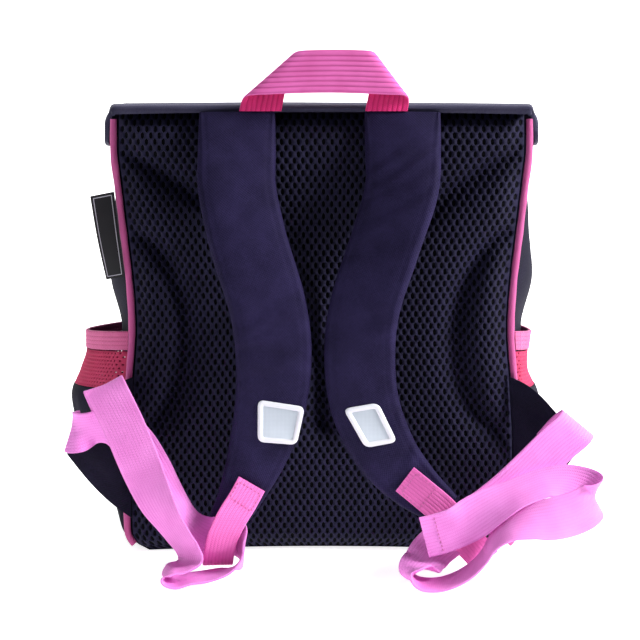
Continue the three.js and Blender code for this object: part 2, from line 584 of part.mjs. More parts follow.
// Side wing: a triangle of cloth sewn over the piping, with the adjusting webbing on its outer edge
const WING = { top: 111, bottom: 22, overlap: 3, y: -61.2, spread: 4, billow: 5 };
const WING_EDGE = [
  { x: 144.5, y: -76, z: 89 },
  { x: 155, y: -75, z: 66 },
];

function wing(side) {
  const point = (u, v, depth) => {
    const z = WING.top + v * (WING.bottom - WING.top);
    const seam = new THREE.Vector3(sideHalf(0, z) - turnUnder(z) - WING.overlap, WING.y, z);
    const [upper, lower] = WING_EDGE.map(({ x, y, z: height }) => new THREE.Vector3(x, y, height));
    const edge = upper.lerp(lower, v);
    const lifted = seam.lerp(edge, u);
    lifted.z += WING.spread * Math.sin(Math.PI * u) * (1 - 2 * v);
    lifted.y -= WING.billow * Math.sin(Math.PI * u) * Math.sin(Math.PI * v);
    return new THREE.Vector3(side * lifted.x, lifted.y + depth, lifted.z);
  };
  return wall(6, 7, (u, v) => point(u, v, CLOTH / 2), (u, v) => point(u, v, -CLOTH / 2));
}

// Bare side label, its inner edge held in the left back seam and its lower end turned back
const LABEL = { top: 224.5, bottom: 173, wide: 14, sag: 2.6, clear: 2.6, y: -60, lean: 3, turn: 0.6, thick: 1 };

function sideLabel() {
  const point = (u, v, depth) => {
    const z = LABEL.top + v * (LABEL.bottom - LABEL.top);
    const turn = LABEL.turn * v;
    const x = -(sideHalf(0, z) + LABEL.clear + u * LABEL.wide * Math.cos(turn));
    const y = LABEL.y - LABEL.lean * u + u * LABEL.wide * Math.sin(turn);
    return new THREE.Vector3(x, y + depth, z - LABEL.sag * u);
  };
  return wall(2, 6, (u, v) => point(u, v, 0), (u, v) => point(u, v, LABEL.thick));
}

// The backpack, piece by piece
const backpack = new THREE.Group();

function add(name, geometry, material) {
  const piece = new THREE.Mesh(geometry, material);
  piece.name = name;
  backpack.add(piece);
}

add("back_panel", backPanel(), NAVY_MESH);
add("front_panel", frontPanel(), NAVY);
add("base_panel", basePanel(), NAVY);
add("lid", lid(), NAVY);
add("lid_clasp", lidClasp(), BLACK);
add("carry_handle", carryHandle(), PINK);
add("side_label", sideLabel(), BLACK);
add("shoulder_strap_left", shoulderStrap(STRAP_ROWS_LEFT), NAVY);
add("shoulder_strap_right", shoulderStrap(STRAP_ROWS_RIGHT), NAVY);
add("reflector_left", reflector(REFLECTOR_LEFT), SILVER);
add("reflector_right", reflector(REFLECTOR_RIGHT), SILVER);
add("strap_tab_left", webbing(TAB_ROWS_LEFT, TAB_WIDTH, 24), PINK);
add("strap_tab_right", webbing(TAB_ROWS_RIGHT, TAB_WIDTH, 24), PINK);
add("adjuster_webbing_left", webbing(WEBBING_ROWS_LEFT, WEBBING_WIDTH, 76), PINK);
add("adjuster_webbing_right", webbing(WEBBING_ROWS_RIGHT, WEBBING_WIDTH, 80), PINK);
for (const [word, side] of [["left", -1], ["right", 1]]) {
  add(`gusset_${word}`, gusset(side), NAVY);
  add(`piping_${word}`, piping(side), PINK);
  add(`wing_${word}`, wing(side), NAVY);
  for (const band of POCKET_BANDS) add(`${band.name}_${word}`, pocketBand(side, band), band.material);
}

export default backpack;
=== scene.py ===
"""A toddler's backpack from its strap side: padding, net, cloth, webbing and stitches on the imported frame."""
import math

import bpy
import numpy as np
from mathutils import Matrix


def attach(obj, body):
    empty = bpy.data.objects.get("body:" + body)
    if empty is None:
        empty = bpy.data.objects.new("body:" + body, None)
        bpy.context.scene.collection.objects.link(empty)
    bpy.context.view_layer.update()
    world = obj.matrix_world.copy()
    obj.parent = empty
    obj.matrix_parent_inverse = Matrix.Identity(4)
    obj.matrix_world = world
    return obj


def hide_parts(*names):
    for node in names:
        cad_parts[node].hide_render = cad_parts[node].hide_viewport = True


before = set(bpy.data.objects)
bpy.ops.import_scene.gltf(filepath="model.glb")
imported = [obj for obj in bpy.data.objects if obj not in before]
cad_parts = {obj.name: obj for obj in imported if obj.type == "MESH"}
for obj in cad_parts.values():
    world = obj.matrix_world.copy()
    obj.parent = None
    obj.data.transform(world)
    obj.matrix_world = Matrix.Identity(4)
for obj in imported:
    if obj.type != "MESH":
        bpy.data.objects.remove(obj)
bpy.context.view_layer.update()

# Sizes of the bag in millimetres, as in the solids, and the metres that a millimetre makes
MM = 0.001
BACK_Y = -54.0
FRONT_Y = 60.0
CLOTH = 2.0
BASE_RADIUS = 14.0
PAD_EDGE = 4.0
PAD_CROWN = 15.0
CHANNEL_HALF = 7.0
WEBBING_WIDTH = 25.0
WEBBING_THICK = 1.6
TAB_WIDTH = 18.0
STRAP_THICK = 10.0
PIPING_RADIUS = 2.1
SIDES = {"left": -1, "right": 1}

# Columns of a route, with the way across it, and of a crease in cloth
ROUTE = "x y z ax ay az"
FOLD = "u0 v0 u1 v1 half depth"


def table(columns, *rows):
    """Rows of numbers as one array for each named column."""
    return dict(zip(columns.split(), np.array(rows, float).T))


def pair(columns, **rows):
    """One table for the left side and one for the right."""
    return {word: table(columns, *rows[word]) for word in SIDES}


# Half-width of the bag at each height: at the back seam, half-way along the side, at the front seam
SIDE_ROWS = table(
    "z back mid front",
    (0, 121, 121, 116), (68, 121, 125, 118), (108, 118.5, 126, 117), (138, 116, 129, 116),
    (168, 117, 136, 117), (203, 120.5, 133, 118), (228, 123, 129, 119), (248, 125, 127, 119),
    (274, 124.5, 125, 119),
)

# How far the middle of each side pocket stands off the bag's side
POCKET_ROWS = table(
    "z left right",
    (3, 0.5, 0.5), (28, 11, 4), (53, 24, 8), (88, 33, 11.5), (106, 26.5, 4), (117, 22, 2.8), (129, 20, 3.2),
)

# Shoulder straps from the top seam to the tip: middle line, width and share of the full thickness
STRAP_ROWS = pair(
    "x y z width fill ax ay az",
    left=[
        (-50, -70, 272, 45, 0.4, 1, 0, 0), (-50, -77, 251, 46, 0.9, 1, 0.06, 0),
        (-49.5, -86, 228, 46, 1, 1, 0.12, 0), (-42.7, -93, 197, 46, 1, 1, 0.14, 0),
        (-31.7, -96, 160, 45.5, 1, 1, 0.12, 0), (-28.2, -97, 130, 45, 1, 1, 0.05, 0),
        (-30.5, -97, 100, 42, 1, 1, 0, 0), (-38, -97, 72, 36, 0.95, 1, 0, 0),
        (-48.5, -97, 46, 27, 0.8, 1, 0, 0), (-60, -97, 24, 20, 0.6, 1, 0, 0),
    ],
    right=[
        (48, -70, 272, 45, 0.4, 1, 0, 0), (48, -77, 251, 45, 0.9, 1, -0.1, 0),
        (47, -86, 228, 44, 1, 1, -0.2, 0), (37.3, -93, 197, 42.5, 1, 1, -0.25, 0),
        (25.5, -96, 160, 42, 1, 1, -0.2, 0), (22.5, -97, 130, 42, 1, 1, -0.08, 0),
        (26, -97, 100, 41, 1, 1, 0, 0), (38.5, -97, 72, 37, 0.95, 1, 0, 0),
        (54.5, -97, 53, 31, 0.8, 1, 0, 0), (74, -97, 37, 22, 0.6, 1, 0, 0),
    ],
)

# Wrinkles across the straps: place along it, rise from its middle to its edge, half-width and depth
STRAP_WRINKLES = pair(
    "along rise half depth",
    left=[
        (62, 6, 5, 0.5), (96, -5, 4, 0.5), (118, 8, 5, 0.7), (131, 3, 3, 0.5), (146, -4, 4, 0.7),
        (158, 6, 3, 0.4), (205, -8, 5, 0.5), (226, -6, 4, 0.6),
    ],
    right=[
        (22, 14, 4, 0.9), (34, 18, 4, 1.2), (46, 16, 4, 1.1), (60, 20, 5, 0.9), (84, 12, 5, 0.6),
        (128, 8, 5, 0.5), (196, 10, 5, 0.6), (222, 12, 4, 0.7),
    ],
)

# Adjusting webbing from the side wing to the free end: middle line and the way across
ADJUSTER_ROWS = pair(
    ROUTE,
    left=[
        (-145, -80.4, 82, 0.3, 0, 0.95), (-148.6, -81.6, 81.7, 0.31, 0, 0.95),
        (-150.8, -84.2, 81.4, 0.31, 0, 0.95), (-147, -87, 82.3, 0.28, 0, 0.96),
        (-138, -88.5, 85, 0.1, -0.5, 0.85), (-128, -90, 86, -0.1, -0.3, 0.95),
        (-118.5, -91.5, 83, 0.25, 0.1, 0.95), (-110, -94, 74.5, 0.5, 0.3, 0.78),
        (-101, -98, 61.5, 0.52, 0.5, 0.6), (-91, -102.2, 47, 0.4, 0.78, 0.4),
        (-80.5, -107, 33, 0.2, 0.85, 0.45), (-70.5, -110.2, 25, 0.08, 0.5, 0.85),
        (-61, -111, 23.3, 0, 0.12, 0.98), (-51.6, -111.3, 23.2, 0, 0.05, 0.98),
        (-46.6, -115.5, 18, 0.08, -0.5, 0.8), (-47.5, -121.5, 12.2, 0.05, -0.82, 0.48),
        (-55.5, -125.5, 8, 0.1, -0.96, 0.15), (-67, -127, 5.2, 0.15, -0.97, 0.05),
        (-77, -128, 4, 0.15, -0.97, 0.05), (-85.5, -129, 2.4, 0.1, -0.98, 0),
        (-91.5, -129, 4.8, 0.05, -0.98, 0), (-88, -127, 9, 0.1, -0.97, 0),
        (-81, -124.5, 10.5, 0.35, -0.9, 0.05), (-77, -122, 14, 0.6, -0.75, 0.1),
        (-79, -120.5, 20, 0.62, -0.72, 0.2), (-84, -119, 27, 0.65, -0.68, 0.25),
        (-90, -117.5, 35.5, 0.7, -0.6, 0.28), (-96.6, -115.5, 46, 0.8, -0.4, 0.33),
        (-102.5, -113, 58.5, 0.88, -0.2, 0.38), (-108.5, -110, 72.5, 0.92, 0, 0.39),
        (-116.5, -106, 90.5, 0.92, 0, 0.39), (-125, -102, 107, 0.92, 0, 0.39),
        (-128.8, -97, 112.5, 0.92, 0, 0.39), (-128.5, -92.5, 108, 0.92, 0, 0.39),
        (-124.5, -92, 98, 0.92, 0, 0.39),
    ],
    right=[
        (140, -79.5, 71.5, 0.77, 0, -0.64), (148, -81, 81.5, 0.77, 0, -0.64),
        (153.5, -86, 87.5, 0.77, 0, -0.64), (151, -92.5, 85, 0.77, 0, -0.64),
        (139, -96, 75.5, 0.76, 0, -0.65), (124, -100, 61.5, 0.74, 0, -0.67),
        (109, -103.5, 48, 0.66, -0.1, -0.74), (92, -107, 35.5, 0.5, -0.15, -0.84),
        (76, -109.5, 24.5, 0.25, -0.25, -0.93), (66.5, -113, 17.5, 0.1, -0.6, -0.75),
        (60.5, -121, 12.8, 0, -0.9, -0.4), (54.8, -130.5, 10.3, -0.05, -0.98, -0.1),
        (52.7, -134, 6.8, 0, -1, 0), (57.8, -134.4, 3, 0, -1, 0), (68, -134.5, 2.6, 0, -1, 0),
        (78.5, -134.5, 6, 0, -1, 0), (87.5, -134.5, 12, 0, -1, 0), (94, -135, 19.5, 0, -1, 0),
        (99.5, -136.5, 29.5, 0.02, -0.99, -0.1), (108.5, -137.5, 37.5, 0.06, -0.93, -0.35),
        (120, -137.5, 41, 0.1, -0.78, -0.6), (133, -135.5, 42.2, 0.13, -0.5, -0.85),
        (146, -131.5, 44.4, 0.14, -0.28, -0.95), (154.6, -127.6, 47.6, 0.12, -0.22, -0.96),
        (158.9, -122.8, 51.4, 0.1, -0.24, -0.96), (155, -118.2, 55.2, 0.1, -0.42, -0.9),
        (144.5, -116, 58.6, 0.1, -0.7, -0.7), (132, -116.5, 58.8, 0.08, -0.88, -0.46),
        (121.3, -119.5, 56.2, 0.1, -0.9, -0.42), (110.8, -122.5, 52.6, 0.18, -0.86, -0.45),
        (100.9, -124.5, 47.8, 0.28, -0.72, -0.65), (90.5, -125, 41.4, 0.36, -0.4, -0.85),
        (80.7, -125, 35, 0.35, 0, -0.93), (70.2, -125, 30.8, 0.2, 0, -0.97), (59.8, -125, 28.1, 0, 0, -1),
    ],
)

# Strap tabs: from the face of the strap down, round the adjusting webbing and up behind it
TAB_ROWS = pair(
    ROUTE,
    left=[
        (-41.5, -103.8, 54.5, 0.87, 0, -0.45), (-46.5, -111, 46.5, 0.87, 0, -0.45),
        (-52.5, -118, 38, 0.92, 0.02, -0.3), (-57.5, -121, 28, 0.95, 0.05, -0.15),
        (-60, -120, 18, 0.96, 0.08, 0), (-61.4, -113, 8.3, 0.96, 0.08, 0), (-62, -106, 10.5, 0.97, 0.05, 0),
        (-62, -103.2, 20, 0.98, 0, 0), (-62, -103.2, 27, 0.98, 0, 0),
    ],
    right=[
        (49.5, -103.8, 57.5, 0.7, 0, 0.7), (60, -109.5, 50, 0.7, 0, 0.7), (71, -115, 41.5, 0.68, 0.1, 0.7),
        (80, -118.5, 31.5, 0.75, 0.1, 0.6), (89, -119.5, 21.5, 0.75, 0.1, 0.6),
        (95.5, -117.5, 13.5, 0.75, 0.1, 0.6), (96.5, -111.5, 10.5, 0.75, 0.1, 0.6),
        (91.5, -105, 14.5, 0.75, 0.1, 0.6), (84.5, -102, 21, 0.75, 0.1, 0.6),
    ],
)

# Lid in side view: outer face from the rear lip over the top and down the front, half-width and flange
LID_ROWS = table(
    "y z half drop",
    (-70.4, 272.6, 125, 2.6), (-71, 274.4, 125.2, 2.6), (-68.5, 275.7, 125.5, 2.8),
    (-60, 276.1, 126.5, 3.2), (-53, 276.2, 128, 4), (-45, 276.2, 132, 22), (-10, 275.2, 132.5, 26),
    (30, 272.6, 131, 26), (58, 265, 129.5, 22), (72, 252, 128, 13), (77, 230, 126, 8), (79, 198, 124, 6),
    (79, 158, 120, 5), (77, 126, 112, 4),
)

# Soft creases in the cloth walls, in shares of the wall: ends, half-width and depth in millimetres
GUSSET_FOLDS = table(
    FOLD,
    (0.1, 0.9, 0.55, 0.72, 0.05, 2.2), (0.9, 0.93, 0.5, 0.7, 0.05, 2.0), (0.15, 0.5, 0.8, 0.56, 0.04, 1.6),
    (0.3, 0.98, 0.36, 0.6, 0.05, 1.4), (0.68, 0.97, 0.62, 0.6, 0.05, 1.5),
    (0.05, 0.66, 0.4, 0.62, 0.03, 1.2),
)
FRONT_FOLDS = table(
    FOLD,
    (0.05, 0.32, 0.4, 0.42, 0.04, 1.6), (0.95, 0.3, 0.62, 0.4, 0.04, 1.6), (0.2, 0.24, 0.5, 0.3, 0.03, 1.2),
    (0.8, 0.26, 0.55, 0.32, 0.03, 1.0),
)
POCKET_FOLDS = table(
    FOLD,
    (0.12, 0.95, 0.4, 0.35, 0.05, 2.4), (0.88, 0.95, 0.62, 0.4, 0.05, 2.2),
    (0.5, 0.98, 0.52, 0.5, 0.05, 1.6), (0.25, 0.3, 0.75, 0.22, 0.06, 1.8),
    (0.3, 0.97, 0.33, 0.7, 0.04, 1.3), (0.7, 0.97, 0.68, 0.7, 0.04, 1.3),
)
WING_FOLDS = table(
    FOLD,
    (1.0, 0.3, 0.1, 0.2, 0.07, 1.2), (1.0, 0.5, 0.05, 0.52, 0.08, 1.6), (1.0, 0.75, 0.1, 0.85, 0.07, 1.3),
)
LID_FOLDS = table(
    FOLD,
    (0.1, 0.44, 0.4, 0.5, 0.03, 0.6), (0.9, 0.42, 0.6, 0.52, 0.03, 0.6), (0.3, 0.72, 0.7, 0.7, 0.03, 0.6),
)


# Points across and up the grids of the walls, then stations along straps, webbing, pocket rims and piping
PAD_GRID, GUSSET_GRID, FRONT_GRID, LID_GRID = (130, 140), (56, 90), (90, 90), (120, 150)
LABEL_GRID, POCKET_GRID, WING_GRID = (30, 90), (80, 60), (44, 60)
STRAP_COUNT, TAB_COUNT, ADJUSTER_COUNT, HANDLE_COUNT, RIM_COUNT, PIPING_COUNT = 230, 90, 420, 181, 220, 210

# Unevenness of the cloth in millimetres
GUSSET_RUMPLE, FRONT_RUMPLE, POCKET_RUMPLE, LID_RUMPLE, STRAP_RUMPLE = 0.35, 0.3, 0.3, 0.12, 0.12


# Curves and grids

def smooth(keys, values, at):
    """A cubic through the rows of a table; the slope at a row is that of the line between its neighbours."""
    at = np.asarray(at, float)
    b = np.clip(np.searchsorted(keys, at), 1, len(keys) - 1)
    a = b - 1
    before = np.maximum(a - 1, 0)
    after = np.minimum(b + 1, len(keys) - 1)
    span = keys[b] - keys[a]
    t = np.clip((at - keys[a]) / span, 0, 1)
    slope_a = (values[b] - values[before]) / (keys[b] - keys[before]) * span
    slope_b = (values[after] - values[a]) / (keys[after] - keys[a]) * span
    level = (2 * t**3 - 3 * t**2 + 1) * values[a] + (3 * t**2 - 2 * t**3) * values[b]
    return level + (t**3 - 2 * t**2 + t) * slope_a + (t**3 - t**2) * slope_b


def along(rows, name, share):
    """A column of rows that follow each other along a path, share running from 0 to 1."""
    count = len(rows[name])
    return smooth(np.arange(count, dtype=float), rows[name], np.clip(share, 0, 1) * (count - 1))


def unit(vectors):
    """The same directions, one long."""
    return vectors / np.linalg.norm(vectors, axis=-1, keepdims=True)


def lengths(points):
    """Length so far at each point of a line."""
    return np.concatenate([[0], np.cumsum(np.linalg.norm(np.diff(points, axis=0), axis=1))])


def stacked(*columns):
    """Numbers side by side for each point of a grid."""
    return np.stack(np.broadcast_arrays(*columns), axis=-1)


def bell(off):
    """One in the middle, falling away to nothing on both sides."""
    return np.exp(-(off**2))


def lattice(columns, rows):
    """Shares u across and v up of a grid, each from 0 to 1."""
    return np.meshgrid(np.linspace(0, 1, columns), np.linspace(0, 1, rows))


def creases(u, v, rows):
    """Depth of soft creases: each row is a bell across its line, fading to nothing at the line's two ends."""
    depth = np.zeros_like(u)
    for u0, v0, u1, v1, half, deep in zip(*rows.values()):
        du, dv = u1 - u0, v1 - v0
        t = np.clip(((u - u0) * du + (v - v0) * dv) / (du * du + dv * dv), 0, 1)
        off = np.hypot(u - u0 - t * du, v - v0 - t * dv)
        depth += deep * bell(off / half) * np.sin(np.pi * np.clip(t, 0.08, 0.92))
    return depth


def rumple(u, v, size):
    """Gentle unevenness of hand-sewn cloth: three crossed waves of unlike lengths."""
    long, middling = np.sin(7.1 * u + 4.3 * v), np.sin(13.7 * v - 9.2 * u + 1.3)
    return size * (long + 0.7 * middling + 0.5 * np.sin(23.0 * u + 17.0 * v + 0.4))


# Meshes

def grid_quads(rows, columns):
    """Corner numbers of the quads between the points of a grid that is stored row by row."""
    at = np.arange((rows - 1) * columns).reshape(rows - 1, columns)[:, :-1].ravel()
    return stacked(at, at + 1, at + 1 + columns, at + columns)


def edge_quads(number, layer):
    """Quads between the edge of a grid of corner numbers and the same edge a layer of numbers further on."""
    edge = np.concatenate([number[0, :], number[1:, -1], number[-1, -2::-1], number[-2:0:-1, 0]])
    after = np.roll(edge, -1)
    return stacked(after, edge, edge + layer, after + layer)


def signed_volume(points, faces):
    """Six times the volume inside the faces, negative where they point inwards."""
    total = 0.0
    for corners in faces:
        first = points[corners[:, 0]]
        for k in range(1, corners.shape[1] - 1):
            total += np.sum(first * np.cross(points[corners[:, k]], points[corners[:, k + 1]]))
    return total


def linked(name, data):
    """An object in the scene from its mesh, lamp or camera."""
    made = bpy.data.objects.new(name, data)
    bpy.context.scene.collection.objects.link(made)
    return made


def piece(name, shape, finish, replaced=(), sharp=50):
    """A mesh object from a shape: points in millimetres, corner numbers of faces and cloth places of corners.
    Faces are turned outwards, shaded smooth and kept sharp at steeper edges than the given angle."""
    points, faces, places = shape
    points = np.asarray(points, float).reshape(-1, 3)
    if signed_volume(points, faces) < 0:
        faces = [corners[:, ::-1] for corners in faces]
        places = [place[:, ::-1] for place in places]
    mesh = bpy.data.meshes.new(name)
    mesh.from_pydata((points * MM).tolist(), [], [corner for corners in faces for corner in corners.tolist()])
    cut = mesh.uv_layers.new(name="cut")
    cut.data.foreach_set("uv", np.concatenate([place.reshape(-1) for place in places]).astype(np.float32))
    mesh.shade_smooth()
    mesh.set_sharp_from_angle(angle=math.radians(sharp))
    mesh.materials.append(finish)
    made = linked(name, mesh)
    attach(made, "root")
    if replaced:
        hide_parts(*replaced)
    return made


def slab(outer, inner, cut):
    """A closed wall between two grids of points: both faces and the rim. cut has the points' cloth places."""
    rows, columns = outer.shape[:2]
    layer = rows * columns
    quads = grid_quads(rows, columns)
    rim = edge_quads(np.arange(layer).reshape(rows, columns), layer)
    faces = [quads, quads[:, ::-1] + layer, rim]
    places = np.concatenate([cut.reshape(-1, 2)] * 2)
    points = np.concatenate([outer.reshape(-1, 3), inner.reshape(-1, 3)])
    return points, faces, [places[corners] for corners in faces]


def sewn(name, outer, inner, size, finish, slot, node, fullness=1.0, **declared):
    """A cloth wall between the grids of its two faces. size is its width and height in millimetres.
    fullness, how much more height was cut than shows, is not used."""
    wide, high = size
    u, v = lattice(outer.shape[1], outer.shape[0])
    cut = stacked(u * wide, v * high)
    made = piece(name, slab(outer, inner, cut), finish, [node])
    return made


def tube(sections, cut):
    """A closed body through rings of equal numbers of points, with a flat face on each end.
    cut has one column more than the rings, so that the pattern closes round the body."""
    rows, columns = sections.shape[:2]
    open_quads = grid_quads(rows, columns + 1)
    quads = open_quads // (columns + 1) * columns + open_quads % (columns + 1) % columns
    first = np.arange(columns)[None, ::-1]
    last = np.arange(columns)[None] + (rows - 1) * columns
    ends = [cut[0, :columns][None, ::-1], cut[-1, :columns][None]]
    return sections.reshape(-1, 3), [quads, first, last], [cut.reshape(-1, 2)[open_quads], *ends]


def joined(shapes):
    """Several shapes as one."""
    points, faces, places = [], [], []
    count = 0
    for some_points, some_faces, some_places in shapes:
        points.append(some_points)
        faces += [corners + count for corners in some_faces]
        places += some_places
        count += len(some_points)
    return np.concatenate(points), faces, places


# Webbing: ribs across each kind, and the cloth place across at which the reverse face is laid out
WEBBING_RIBS, HANDLE_RIBS, TAB_RIBS, RIM_RIBS = 12, 8, 8, 4
REVERSE = 260.0


def stations(rows, count):
    """Places along a route: middle point, way across, way out of the face and length so far."""
    share = np.linspace(0, 1, count)
    near = 0.002

    def at(names, where):
        return stacked(*[along(rows, name, where) for name in names.split()])

    middle = at("x y z", share)
    run = unit(at("x y z", np.minimum(share + near, 1)) - at("x y z", np.maximum(share - near, 0)))
    face = unit(np.cross(run, at("ax ay az", share)))
    across = np.cross(face, run)
    return {"share": share, "middle": middle, "face": face, "across": across, "length": lengths(middle)}


def rib_pitch(width, ribs):
    """Width of one rib of webbing between its half-round edges."""
    return (width - WEBBING_THICK) / ribs


def webbing_profile(width, ribs, groove=0.16):
    """Section of flat webbing: ribs between narrow grooves on both faces, with half-round edges."""
    half, edge = width / 2, WEBBING_THICK / 2
    steps = np.array([0.0, 0.16, 0.5, 0.84])
    across = -half + edge + ((np.arange(ribs)[:, None] + steps) * rib_pitch(width, ribs)).ravel()
    lower = np.tile([groove, 0.04, 0.0, 0.04], ribs)
    lower[0] = 0.05
    turn = np.linspace(0, np.pi, 7)[:-1]
    front = stacked(across, edge - lower)
    round_edge = stacked(half - edge + edge * np.sin(turn), edge * np.cos(turn))
    return np.concatenate([front, round_edge, -front, -round_edge])


def two_faced(profile):
    """Cloth places round a section of webbing, with the reverse face laid out beside the right face."""
    around = profile[:, 0] + REVERSE * (profile[:, 1] < 0)
    return np.concatenate([around, around[:1]])


def eased(sections, turns):
    """Sections with their folds eased: each turn moves a point halfway to the middle of its neighbours."""
    eased_sections = sections.copy()
    for _ in range(turns):
        middle = (eased_sections[:-2] + eased_sections[2:]) / 2
        eased_sections[1:-1] = (eased_sections[1:-1] + middle) / 2
    return eased_sections


def ribbon(places, profile):
    """Webbing or a band: its section carried along its stations. Cloth places are across and along it."""
    across = places["across"][:, None] * profile[None, :, :1]
    out = places["face"][:, None] * profile[None, :, 1:]
    cut = stacked(two_faced(profile)[None], places["length"][:, None])
    return tube(places["middle"][:, None] + across + out, cut)


# Stitches: share of the pitch that shows, thread radius, and thickness and height along a stitch in radii
STITCH_SHARE, THREAD_RADIUS = 0.68, 0.3
STITCH_ROWS = table(
    "at fat arch",
    (0, 0.35, -0.9), (0.15, 0.9, 0.25), (0.5, 1, 0.6), (0.85, 0.9, 0.25), (1, 0.35, -0.9),
)


def stitch_line(points, out, pitch):
    """A row of stitches along a line: six-sided spindles that arch out of the cloth and dive into it."""
    run = lengths(points)
    count = max(int(run[-1] / pitch), 1)
    starts = (np.arange(count) + 0.5 * (1 - STITCH_SHARE)) * run[-1] / count
    where = starts[:, None] + STITCH_ROWS["at"] * STITCH_SHARE * run[-1] / count
    fat, arch = STITCH_ROWS["fat"] * THREAD_RADIUS, STITCH_ROWS["arch"] * THREAD_RADIUS

    def follow(values):
        return stacked(*[np.interp(where, run, values[:, k]) for k in range(3)])

    middle, lift = follow(points), unit(follow(out))
    forward = unit(middle[:, -1:] - middle[:, :1])
    beside = unit(np.cross(forward, lift))
    angle = np.arange(6) * np.pi / 3
    around = beside[:, :, None] * np.cos(angle)[:, None] + lift[:, :, None] * np.sin(angle)[:, None]
    rings = (middle + lift * arch[:, None])[:, :, None] + fat[:, None, None] * around
    cut = stacked(angle[None], STITCH_ROWS["at"][:, None])
    cut = np.concatenate([cut, cut[:, :1]], axis=1)
    return joined([tube(ring, cut) for ring in rings])


# Shape of the bag: share of a wall's grid in its turn under the bag, and the cloth that this turn takes up
TURN_SHARE, TURN_TAKES = 0.2, 8.0


def turn_under(z):
    """How far a wall has drawn in at height z, where it turns under the bag on a quarter circle."""
    below = np.maximum(BASE_RADIUS - z, 0)
    return BASE_RADIUS - np.sqrt(BASE_RADIUS**2 - below**2)


def wall_section(share, high, depth):
    """Height and draw-in of a wall at a depth in from its face: a quarter turn, then straight up."""
    angle = np.minimum(share / TURN_SHARE, 1) * np.pi / 2
    rise = np.maximum(share - TURN_SHARE, 0) / (1 - TURN_SHARE) * (high - BASE_RADIUS)
    radius = BASE_RADIUS - depth
    return BASE_RADIUS - radius * np.cos(angle) + rise, BASE_RADIUS - radius * np.sin(angle)


def wall_sink(u, v, folds, size):
    """Depth of a wall's creases and unevenness, with none along its seams or where it turns under."""
    return (creases(u, v, folds) + rumple(u, v, size)) * np.sin(np.pi * u) * np.clip(4 * v - 0.8, 0, 1)


def side_half(u, z):
    """Half-width of the bag at height z and share u of its depth: a parabola through three widths."""
    back, mid, front = (smooth(SIDE_ROWS["z"], SIDE_ROWS[name], z) for name in ("back", "mid", "front"))
    return back * (1 - u) * (1 - 2 * u) + mid * 4 * u * (1 - u) + front * u * (2 * u - 1)


def seam_half(z):
    """Half-width of the bag at its back seam."""
    return side_half(0, z) - turn_under(z)


# Back panel: quilted padding under an open knitted net
PANEL_LOW, PANEL_HIGH, PANEL_INSET, PANEL_BOW = 0.5, 271.6, 3.2, 8.0
SHIELD_HALF, SHIELD_TIP, SHIELD_TOP, SHIELD_POWER = 118.0, 82.0, 247.0, 2.6
SIDE_PAD_X, SIDE_PAD_Z, SIDE_PAD_HALF, SIDE_PAD_RISE = 119.0, 137.0, 36.0, 62.0

# Nets: width and height of a cell, its hole as shares of these, and thickness; then the slope of the strands
BACK_NET = {"pitch": 4.9, "row": 3.7, "hole": (0.38, 0.84), "thick": 1.1}
POCKET_MESH = {"pitch": 3.1, "row": 2.3, "hole": (0.32, 0.36), "thick": 1.0}
STRAND_SLOPE, STRAND_SHOULDER = 0.12, 0.55


def shield_distance(x, z):
    """Distance from the channel under the shield, whose half-width grows with a power of the height."""
    height = SHIELD_TOP - SHIELD_TIP
    share = np.maximum((z - SHIELD_TIP) / height, 0)
    slope = SHIELD_HALF * SHIELD_POWER / height * share ** (SHIELD_POWER - 1)
    beside = np.abs(np.abs(x) - SHIELD_HALF * share**SHIELD_POWER) / np.hypot(1, slope)
    return np.where(z < SHIELD_TIP, np.hypot(x, SHIELD_TIP - z), beside)


def side_pad_distance(x, z):
    """Distance from the half-oval channel round a side pad."""
    dx = (np.abs(x) - SIDE_PAD_X) / SIDE_PAD_HALF
    dz = (z - SIDE_PAD_Z) / SIDE_PAD_RISE
    radius = np.hypot(dx, dz)
    slope = np.hypot(dx / SIDE_PAD_HALF, dz / SIDE_PAD_RISE) / np.maximum(radius, 0.1)
    return np.abs(radius - 1) / np.maximum(slope, 0.01)


def swollen(distance):
    """Share of the full padding at a distance from where it is sewn down: steep at first, then level."""
    return 1 - np.exp(-((np.maximum(distance, 0) / CHANNEL_HALF) ** 1.4))


def pad_place(across, z, lift):
    """A point on the quilted face, lifted out of it. The padding sinks along channels and seams."""
    half = seam_half(z) - PANEL_INSET
    x = across * half
    channel = np.minimum(shield_distance(x, z), side_pad_distance(x, z))
    edge = np.minimum(np.minimum(half - np.abs(x), PANEL_HIGH - z), z - PANEL_LOW)
    swell = swollen(channel) * swollen(edge)
    bow = PANEL_BOW * (1 - across**2) * (1 - z / PANEL_HIGH)
    return stacked(x, BACK_Y + bow - PAD_EDGE - (PAD_CROWN - PAD_EDGE) * swell - lift, z)


